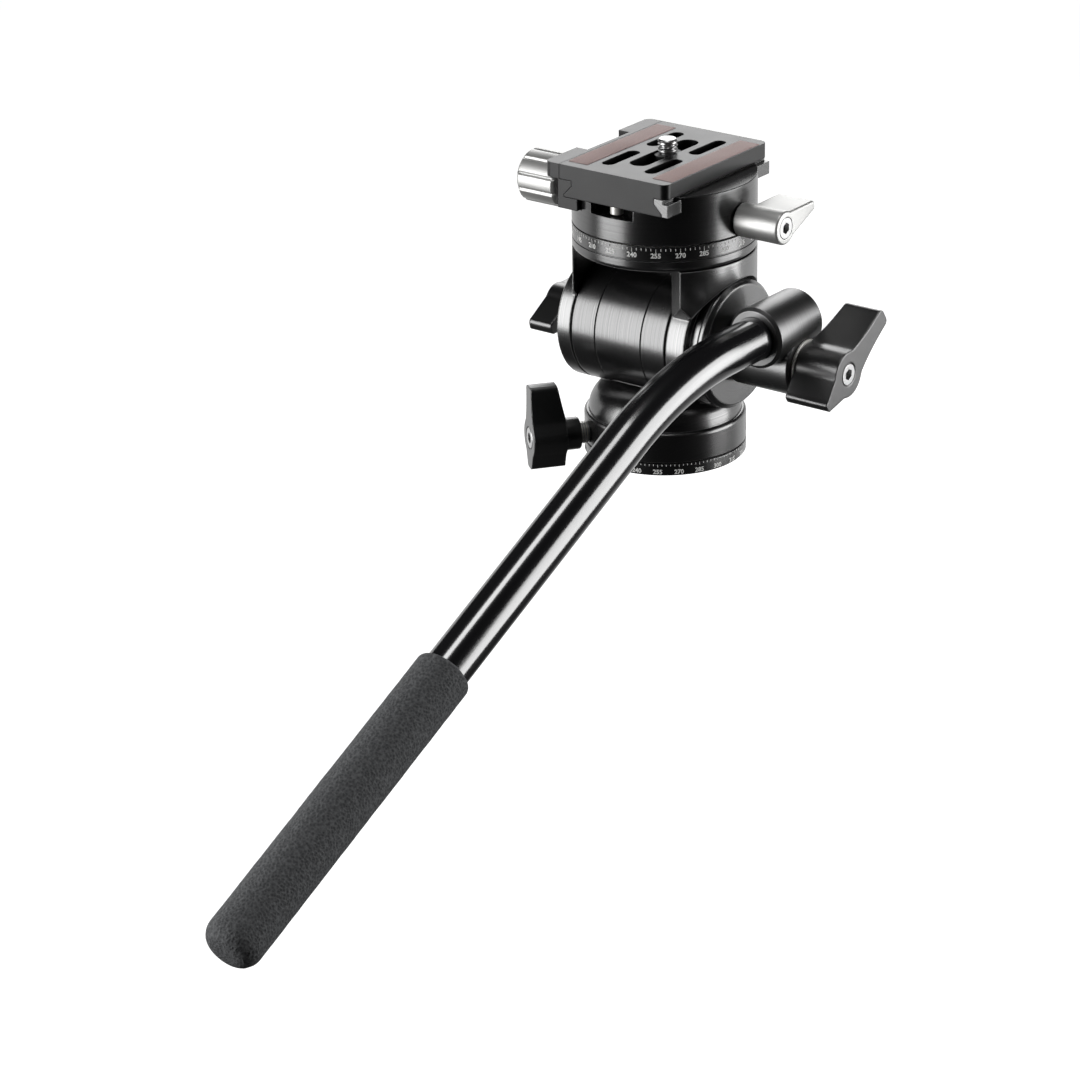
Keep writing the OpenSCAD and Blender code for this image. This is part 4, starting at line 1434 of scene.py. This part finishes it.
@dataclass
class Handle:
    """Bracket, bent tube and foam grip."""

    x: float = 45.2
    height: float = 51.4
    sleeve_floor: float = 6.0
    tube_radius: float = 7.05
    tube_wall: float = 1.5
    bend_corner: float = 59.0
    bend_radius: float = 125.0
    bend_angle: float = 25.5
    bend_steps: int = 48
    around: int = MIDDLE_ROUND
    grip_start: float = 128.0
    grip_length: float = 111.0
    grip_radius: float = 8.95
    grip_end_gap: float = 14.0
    grip_play: float = 0.05
    near_round: float = 1.6
    far_round: float = 5.5
    skin_step: float = 1.2
    skin_inset: float = 0.1
    skin_margin: float = 0.5
    skin_waves: tuple[Point, ...] = ((0.25, 0.07), (1.1, 0.03))

    def along(self, distance: float) -> tuple[Vector, Vector]:
        """Finds a point of the far straight stretch.

        Args:
            distance: Length from the corner.

        Returns:
            The point and the direction of the stretch.
        """
        angle = math.radians(self.bend_angle)
        way = Vector((0.0, -math.cos(angle), -math.sin(angle)))
        return Vector((self.x, -self.bend_corner, self.height)) + way * distance, way

    def path(self) -> list[Vector]:
        """Returns the centre line of the tube, from the bracket to the grip's end."""
        tangent = self.bend_radius * math.tan(math.radians(self.bend_angle) / 2.0)
        bend_y = tangent - self.bend_corner
        points = [Vector((self.x, self.sleeve_floor, self.height))]
        for k in range(self.bend_steps + 1):
            angle = math.radians(self.bend_angle) * k / self.bend_steps
            y = bend_y - self.bend_radius * math.sin(angle)
            z = self.height - self.bend_radius * (1.0 - math.cos(angle))
            points.append(Vector((self.x, y, z)))
        points.append(self.along(self.grip_start + self.grip_length - self.grip_end_gap)[0])
        return points

    def wall(self, radius: float) -> list[list[Vector]]:
        """Makes rings of points along the centre line.

        Args:
            radius: Radius of the rings.

        Returns:
            The rings from the bracket to the grip's end.
        """
        path = self.path()
        side = Vector((1.0, 0.0, 0.0))
        rings = []
        for i, point in enumerate(path):
            way = (path[min(i + 1, len(path) - 1)] - path[max(i - 1, 0)]).normalized()
            up = side.cross(way)
            rings.append([point + side * x + up * y for x, y, _ in circle(radius, 0.0, self.around)])
        return rings

    def tube(self) -> Shape:
        """Returns the bent tube with both walls."""
        return skin(self.wall(self.tube_radius) + self.wall(self.tube_radius - self.tube_wall)[::-1])

    def grip(self) -> Shape:
        """Returns the foam grip with round ends and a slightly uneven skin."""
        bore = self.tube_radius + self.grip_play
        bottom = self.grip_length - self.grip_end_gap
        corners = [
            (bore, 0.0, 0.0),
            (self.grip_radius, 0.0, self.near_round),
            (self.grip_radius, self.grip_length, self.far_round),
            (0.0, self.grip_length, 0.0),
        ]
        outer = fillet(corners, steps=10)
        wall: list[Point] = []
        for (r0, h0), (r1, h1) in zip(outer, outer[1:]):
            count = max(1, round(math.hypot(r1 - r0, h1 - h0) / self.skin_step))
            wall += [(r0 + (r1 - r0) * k / count, h0 + (h1 - h0) * k / count) for k in range(count)]
        shape = lathe([(0.0, bottom), (bore, bottom), *wall, outer[-1]], LARGE_ROUND)
        for corner in shape.verts:
            outside = math.hypot(corner.co.x, corner.co.y) > bore + self.skin_margin
            if outside or corner.co.z > self.grip_length - self.skin_margin:
                uneven = sum(noise.noise(corner.co * rate) * size for rate, size in self.skin_waves)
                corner.co -= corner.normal * (self.skin_inset - uneven)
        start, way = self.along(self.grip_start)
        place = Matrix.Translation(start) @ way.to_track_quat("Z", "X").to_matrix().to_4x4()
        return moved(shape, place)

    def build(self) -> None:
        """Builds the tube and the grip."""
        add_piece("bent_tube", self.tube(), "handle", LACQUER, ["handle_tube"])
        grip = add_piece("foam_grip", self.grip(), "handle", FOAM, ["grip"])

    def dress(self) -> None:
        """Gives the bracket its finish."""
        sleeve = ANODISED.about("sleeve_anodised", Axis.Y, (self.x, 0.0, self.height))
        dress(replace(sleeve, roughness=0.36, index=1.85), "handle_bracket")


@dataclass
class HandleLock:
    """Lever and bolt that clamp the bracket to the yoke."""

    lever: Lever
    start: float = 55.6
    height: float = 40.2
    turn: float = 124.0
    washer_radius: float = 8.4
    washer_bore: float = 2.6
    washer_height: float = 0.9
    washer_round: float = 0.25
    washer_gap: float = 0.05

    def build(self) -> None:
        """Builds the lever and the bright washer that shows behind its hub."""
        place = stand((self.start, 0, self.height), (90, "Y"), (self.turn, "Z"))
        lever = moved(self.lever.build(), place)
        add_piece("handle_lock_lever", lever, "handle_lock", CAST, ["handle_lever"])
        low, high = -self.washer_gap - self.washer_height, -self.washer_gap
        corners = [
            (self.washer_bore, low, 0.0),
            (self.washer_radius, low, self.washer_round),
            (self.washer_radius, high, self.washer_round),
            (self.washer_bore, high, 0.0),
        ]
        washer = lathe(fillet(corners, steps=4), LARGE_ROUND, closed=True)
        add_piece("handle_lock_washer", moved(washer, place), "handle_lock", BRIGHT, ["handle_washer"])

    def dress(self) -> None:
        """Gives the bolt its finish."""
        dress(STEEL, "handle_bolt")


@dataclass
class RoundHead:
    """Round body of the clamp."""

    def dress(self) -> None:
        """Gives the solids their finishes."""
        dress(ANODISED, "upper_body")
        dress(BRASS, "upper_shoe")


@dataclass
class UpperLock:
    """Silver lever on the right of the round head."""

    start: float = 30.3
    height: float = 84.2
    hub: float = 5.5
    hub_round: float = 0.4
    length: float = 16.6
    end_round: float = 0.8
    hub_part: float = 3.0
    wing: float = 17.0
    root_inset: float = 0.5
    tip: float = 3.0
    tip_round: float = 1.2
    soft_angle: float = 40.0
    lean: float = 12.0
    bolt_head: float = 3.62
    bolt_sink: float = 3.2
    past: float = 1.0

    def build(self) -> None:
        """Builds the lever."""
        side = [(self.hub, 0, self.hub_round), (self.hub, self.length, self.end_round)]
        hub = lathe(fillet([(0, 0, 0), *side, (0, self.length, 0)], steps=5), LARGE_ROUND)
        flat, half = self.hub - self.root_inset, self.tip / 2
        tip = [(self.wing, half, self.tip_round), (self.wing, -half, self.tip_round)]
        outline = fillet([(0, flat, 0), *tip, (0, -flat, 0)], steps=5)
        wing = softened(prism(outline, self.hub_part, self.length), self.end_round, 4, self.soft_angle)
        shape = blended(Blend.FUSE, hub, moved(wing, stand(ORIGIN, (90 + self.lean, "Z"))))
        above, floor = self.length + self.past, self.length - self.bolt_sink
        seat = [(0, floor), (self.bolt_head, floor), (self.bolt_head, above), (0, above)]
        shape = blended(Blend.CUT, shape, lathe(seat, MIDDLE_ROUND))
        place = stand((self.start, 0, self.height), (90, "Y"))
        silver = SILVER.about("lever_silver", Axis.X, (0.0, 0.0, self.height))
        add_piece("upper_lock_lever", moved(shape, place), "upper_lock", silver, ["upper_lever"])

    def dress(self) -> None:
        """Gives the stud its finish."""
        dress(STEEL, "upper_stud")


@dataclass
class Clamp:
    """Moving jaw with its knob, collar and screw."""

    knob_start: float = -34.1
    knob_length: float = 15.4
    knob_radius: float = 8.8
    knob_heel: Point = (0.6, 0.8)
    knob_rim: float = 1.3
    dish_rim: Point = (2.0, 2.3)
    dish_depth: float = 0.4
    flute_core: float = 1.4
    screw_y: float = -6.0
    screw_z: float = 86.9
    flutes: int = 10
    flute_faces: int = 36
    flute_depth: float = 0.6
    flute_sharpness: float = 14.0

    def build(self) -> None:
        """Builds the fluted knob."""
        radius, length, dish = self.knob_radius, self.knob_length, self.knob_length - self.dish_depth
        corners = [
            (0, 0, 0),
            (radius - self.knob_heel[0], 0, 0.3),
            (radius, self.knob_heel[1], 0.3),
            (radius, length - self.knob_rim, 0.6),
            (radius - self.knob_rim, length, 0.5),
            (radius - self.dish_rim[0], length, 0.2),
            (radius - self.dish_rim[1], dish, 0.2),
            (0, dish, 0),
        ]
        wall = lathe(fillet(corners, steps=4), self.flutes * self.flute_faces)
        silver = SILVER.about("knob_silver", Axis.X, (0.0, self.screw_y, self.screw_z))
        values = {
            "Count": self.flutes,
            "Depth": self.flute_depth,
            "Sharpness": self.flute_sharpness,
            "Core": radius - self.flute_core,
            "Material": silver.material(),
        }
        shape = NodeMaker.run(NodeMaker.fluted_wall(), values, wall)
        place = stand((self.knob_start, self.screw_y, self.screw_z), (-90, "Y"))
        add_piece("fluted_knob", moved(shape, place), "clamp", silver, ["clamp_knob"])

    def dress(self) -> None:
        """Gives the solids their finishes."""
        dress(PLATE, "clamp_jaw")
        dress(STEEL, "clamp_collar", "jaw_pins", "clamp_screw", "clamp_clip")


@dataclass
class CameraPlate:
    """Plate with its rubber strips, stops, slider and camera screw."""

    top: float = 100.9
    strip_width: float = 7.5
    strip_length: float = 48.6
    strip_x: float = 16.45
    strip_bottom: float = 100.2
    strip_top: float = 101.1
    strip_round: float = 0.15
    screw_y: float = 1.8
    screw_radius: float = 3.175
    screw_height: float = 4.4
    screw_edge: float = 0.5
    thread_depth: float = 0.6
    thread_pitch: float = 1.27
    thread_start: float = 0.4
    shank: float = 2.575
    shank_rise: float = 0.1
    head_radius: float = 6.3
    head_low: float = 91.35
    head_height: float = 2.8
    head_edge: float = 0.3
    head_rim: float = 0.2
    coin_width: float = 1.6
    coin_depth: float = 1.2
    coin_past: float = 1.0

    def build(self) -> None:
        """Builds the strips and the camera screw."""
        strips = [self.strip(side * self.strip_x) for side in (-1.0, 1.0)]
        add_piece("rubber_strips", joined(*strips), "plate", RUBBER, ["plate_strips"])
        add_piece("camera_thread", self.screw(), "screw", STEEL, ["camera_screw"])

    def strip(self, x: float) -> Shape:
        """Makes one strip.

        Args:
            x: Where its middle line lies.

        Returns:
            The strip with soft edges.
        """
        across, half = self.strip_width / 2, self.strip_length / 2
        shape = block((x - across, -half, self.strip_bottom), (x + across, half, self.strip_top))
        return softened(shape, self.strip_round, 2)

    def screw(self) -> Shape:
        """Returns the screw with its thread, shank and slotted head."""
        high = self.top + self.screw_height
        start, end = self.top + self.thread_start, high - self.screw_edge
        rows = thread(self.screw_radius, self.thread_depth, self.thread_pitch, start, end)
        head_high = self.head_low + self.head_height
        lower = [
            (self.head_radius - self.head_edge, self.head_low),
            (self.head_radius, self.head_low + self.head_edge),
            (self.head_radius, head_high - self.head_rim),
            (self.head_radius - self.head_rim, head_high),
            (self.shank, head_high),
            (self.shank, self.top + self.shank_rise),
        ]
        turns = len(rows[0])
        rings = [circle(radius, height, turns) for radius, height in lower]
        tip = circle(self.screw_radius - self.screw_edge, high, turns)
        shape = skin([*rings, *rows, tip], closed=False, capped=True)
        wide, half = self.head_radius + self.coin_past, self.coin_width / 2.0
        low = self.head_low - self.coin_past
        slot = block((-wide, -half, low), (wide, half, self.head_low + self.coin_depth))
        return moved(blended(Blend.CUT, shape, slot), stand((0.0, self.screw_y, 0.0)))

    def dress(self) -> None:
        """Gives the solids their finishes."""
        dress(PLATE, "plate")
        dress(BRIGHT, "plate_stops")
        dress(SLIDER, "screw_slider")


def outward(azimuth: float, elevation: float) -> Vector:
    """Returns the direction from the object to a lamp or the camera.

    Args:
        azimuth: Angle round Z from the front.
        elevation: Angle above the level.
    """
    a, e = math.radians(azimuth), math.radians(elevation)
    return Vector((math.sin(a) * math.cos(e), -math.cos(a) * math.cos(e), math.sin(e)))


@dataclass
class SoftBox:
    """One square studio lamp that looks at the object."""

    name: str
    azimuth: float
    elevation: float
    distance: float
    width: float
    height: float
    radiance: float

    def build(self, target: Vector) -> None:
        """Adds the lamp.

        Args:
            target: The point that it looks at.
        """
        lamp = bpy.data.lights.new(self.name, "AREA")
        lamp.shape = "RECTANGLE"
        lamp.size = self.width
        lamp.size_y = self.height
        lamp.energy = LAMP_ENERGY * self.radiance * self.width * self.height
        thing = linked(self.name, lamp)
        back = outward(self.azimuth, self.elevation)
        thing.location = target + back * self.distance
        thing.rotation_mode = "QUATERNION"
        thing.rotation_quaternion = (-back).to_track_quat("-Z", "Y")
        LOG.info("lamp %s", self.name)


@dataclass
class Studio:
    """Pale floor, soft lamps and the camera of the photograph."""

    camera_place: Place = (671.57, -945.79, 459.04)
    azimuth: float = 37.45
    elevation: float = 23.0
    roll: float = -0.99
    focal_pixels: float = 3770.86
    image_pixels: float = 1080.0
    sensor: float = 36.0
    clip: Point = (0.05, 50.0)
    floor_drop: float = 0.3
    floor_radius: float = 6.0
    floor_round: float = 0.6
    wall_height: float = 1.6
    dim_light: float = 0.015
    aim: Place = (0.0, -0.02, 0.02)

    def lamps(self) -> list[SoftBox]:
        """Returns the lamps."""
        # Name, azimuth, elevation, distance, width, height and radiance of each
        return [
            SoftBox("left", -33.0, 7.0, 0.85, 0.55, 0.8, 4.3),
            SoftBox("right", 122.0, 3.0, 0.85, 0.55, 0.7, 4.4),
            SoftBox("back_left", 217.0, 24.0, 1.4, 0.9, 0.7, 2.6),
            SoftBox("top", 0.0, 86.0, 1.5, 0.5, 0.5, 5.0),
        ]

    def camera(self) -> None:
        """Adds the camera at the photograph's place."""
        data = bpy.data.cameras.new("photo_camera")
        data.sensor_width = self.sensor
        data.lens = self.focal_pixels / self.image_pixels * self.sensor
        data.clip_start, data.clip_end = self.clip
        thing = linked("photo_camera", data)
        a, r = math.radians(self.azimuth), math.radians(self.roll)
        right = Vector((math.cos(a), math.sin(a), 0.0))
        back = outward(self.azimuth, self.elevation)
        up = back.cross(right)
        x = right * math.cos(r) + up * math.sin(r)
        y = up * math.cos(r) - right * math.sin(r)
        turn = Matrix((x, y, back)).transposed()
        thing.matrix_world = Matrix.Translation(Vector(self.camera_place) * MM) @ turn.to_4x4()
        bpy.context.scene.camera = thing

    def floor(self) -> None:
        """Adds the floor with its low round wall."""
        z = CAD_BOX[0].z - self.floor_drop
        foot = (self.floor_radius, z, self.floor_round)
        rim = (self.floor_radius, z + self.wall_height, 0.0)
        shape = lathe(fillet([(0.0, z, 0.0), foot, rim], steps=12), LARGE_ROUND)
        bmesh.ops.reverse_faces(shape, faces=shape.faces)
        thing = loose_object("studio_floor", shape)
        thing.data.shade_smooth()
        paint(thing.data, PaleFloor("pale_floor", self.azimuth))

    def world(self) -> None:
        """Adds a dim even light from all round."""
        world = bpy.data.worlds.new("studio_world")
        world.use_nodes = True
        ground = next(node for node in world.node_tree.nodes if node.type == "BACKGROUND")
        NodePen(world.node_tree).fill(ground, {"Color": WHITE, "Strength": self.dim_light})
        bpy.context.scene.world = world

    def build(self) -> None:
        """Builds the whole studio."""
        self.camera()
        self.floor()
        self.world()
        middle = (CAD_BOX[0].z + CAD_BOX[1].z) / 2.0
        for lamp in self.lamps():
            lamp.build(Vector(self.aim) + Vector((0.0, 0.0, middle)))
        bpy.context.scene.view_settings.view_transform = "Standard"


def main() -> None:
    """Builds the studio and every sub-assembly in order."""
    logging.basicConfig(level=logging.INFO, format="%(message)s")
    Studio().build()
    big = Lever(hub=7.6, reach=25.0, nub=14.5, tip=6.4, nub_tip=2.8, depth=15.5)
    left = Lever(hub=6.6, reach=20.0, nub=15.5, tip=3.4, nub_tip=3.4, depth=9.0, flare=1.0)
    left = replace(left, collar=5.5, collar_height=6.4)
    small = Lever(hub=6.7, reach=18.0, nub=10.5, tip=6.0, nub_tip=4.5, depth=11.4)
    small = replace(small, collar=5.35, collar_height=5.3, bore=3.02, rounding=0.9)
    assemblies = [
        PanBase(),
        PanLock(small),
        TiltDrum(),
        Yoke(),
        TiltLock(left),
        Handle(),
        HandleLock(big),
        RoundHead(),
        UpperLock(),
        Clamp(),
        CameraPlate(),
    ]
    for assembly in assemblies:
        LOG.info("assembly %s", type(assembly).__name__)
        if hasattr(assembly, "build"):
            assembly.build()
        assembly.dress()


if __name__ == "__main__":
    main()
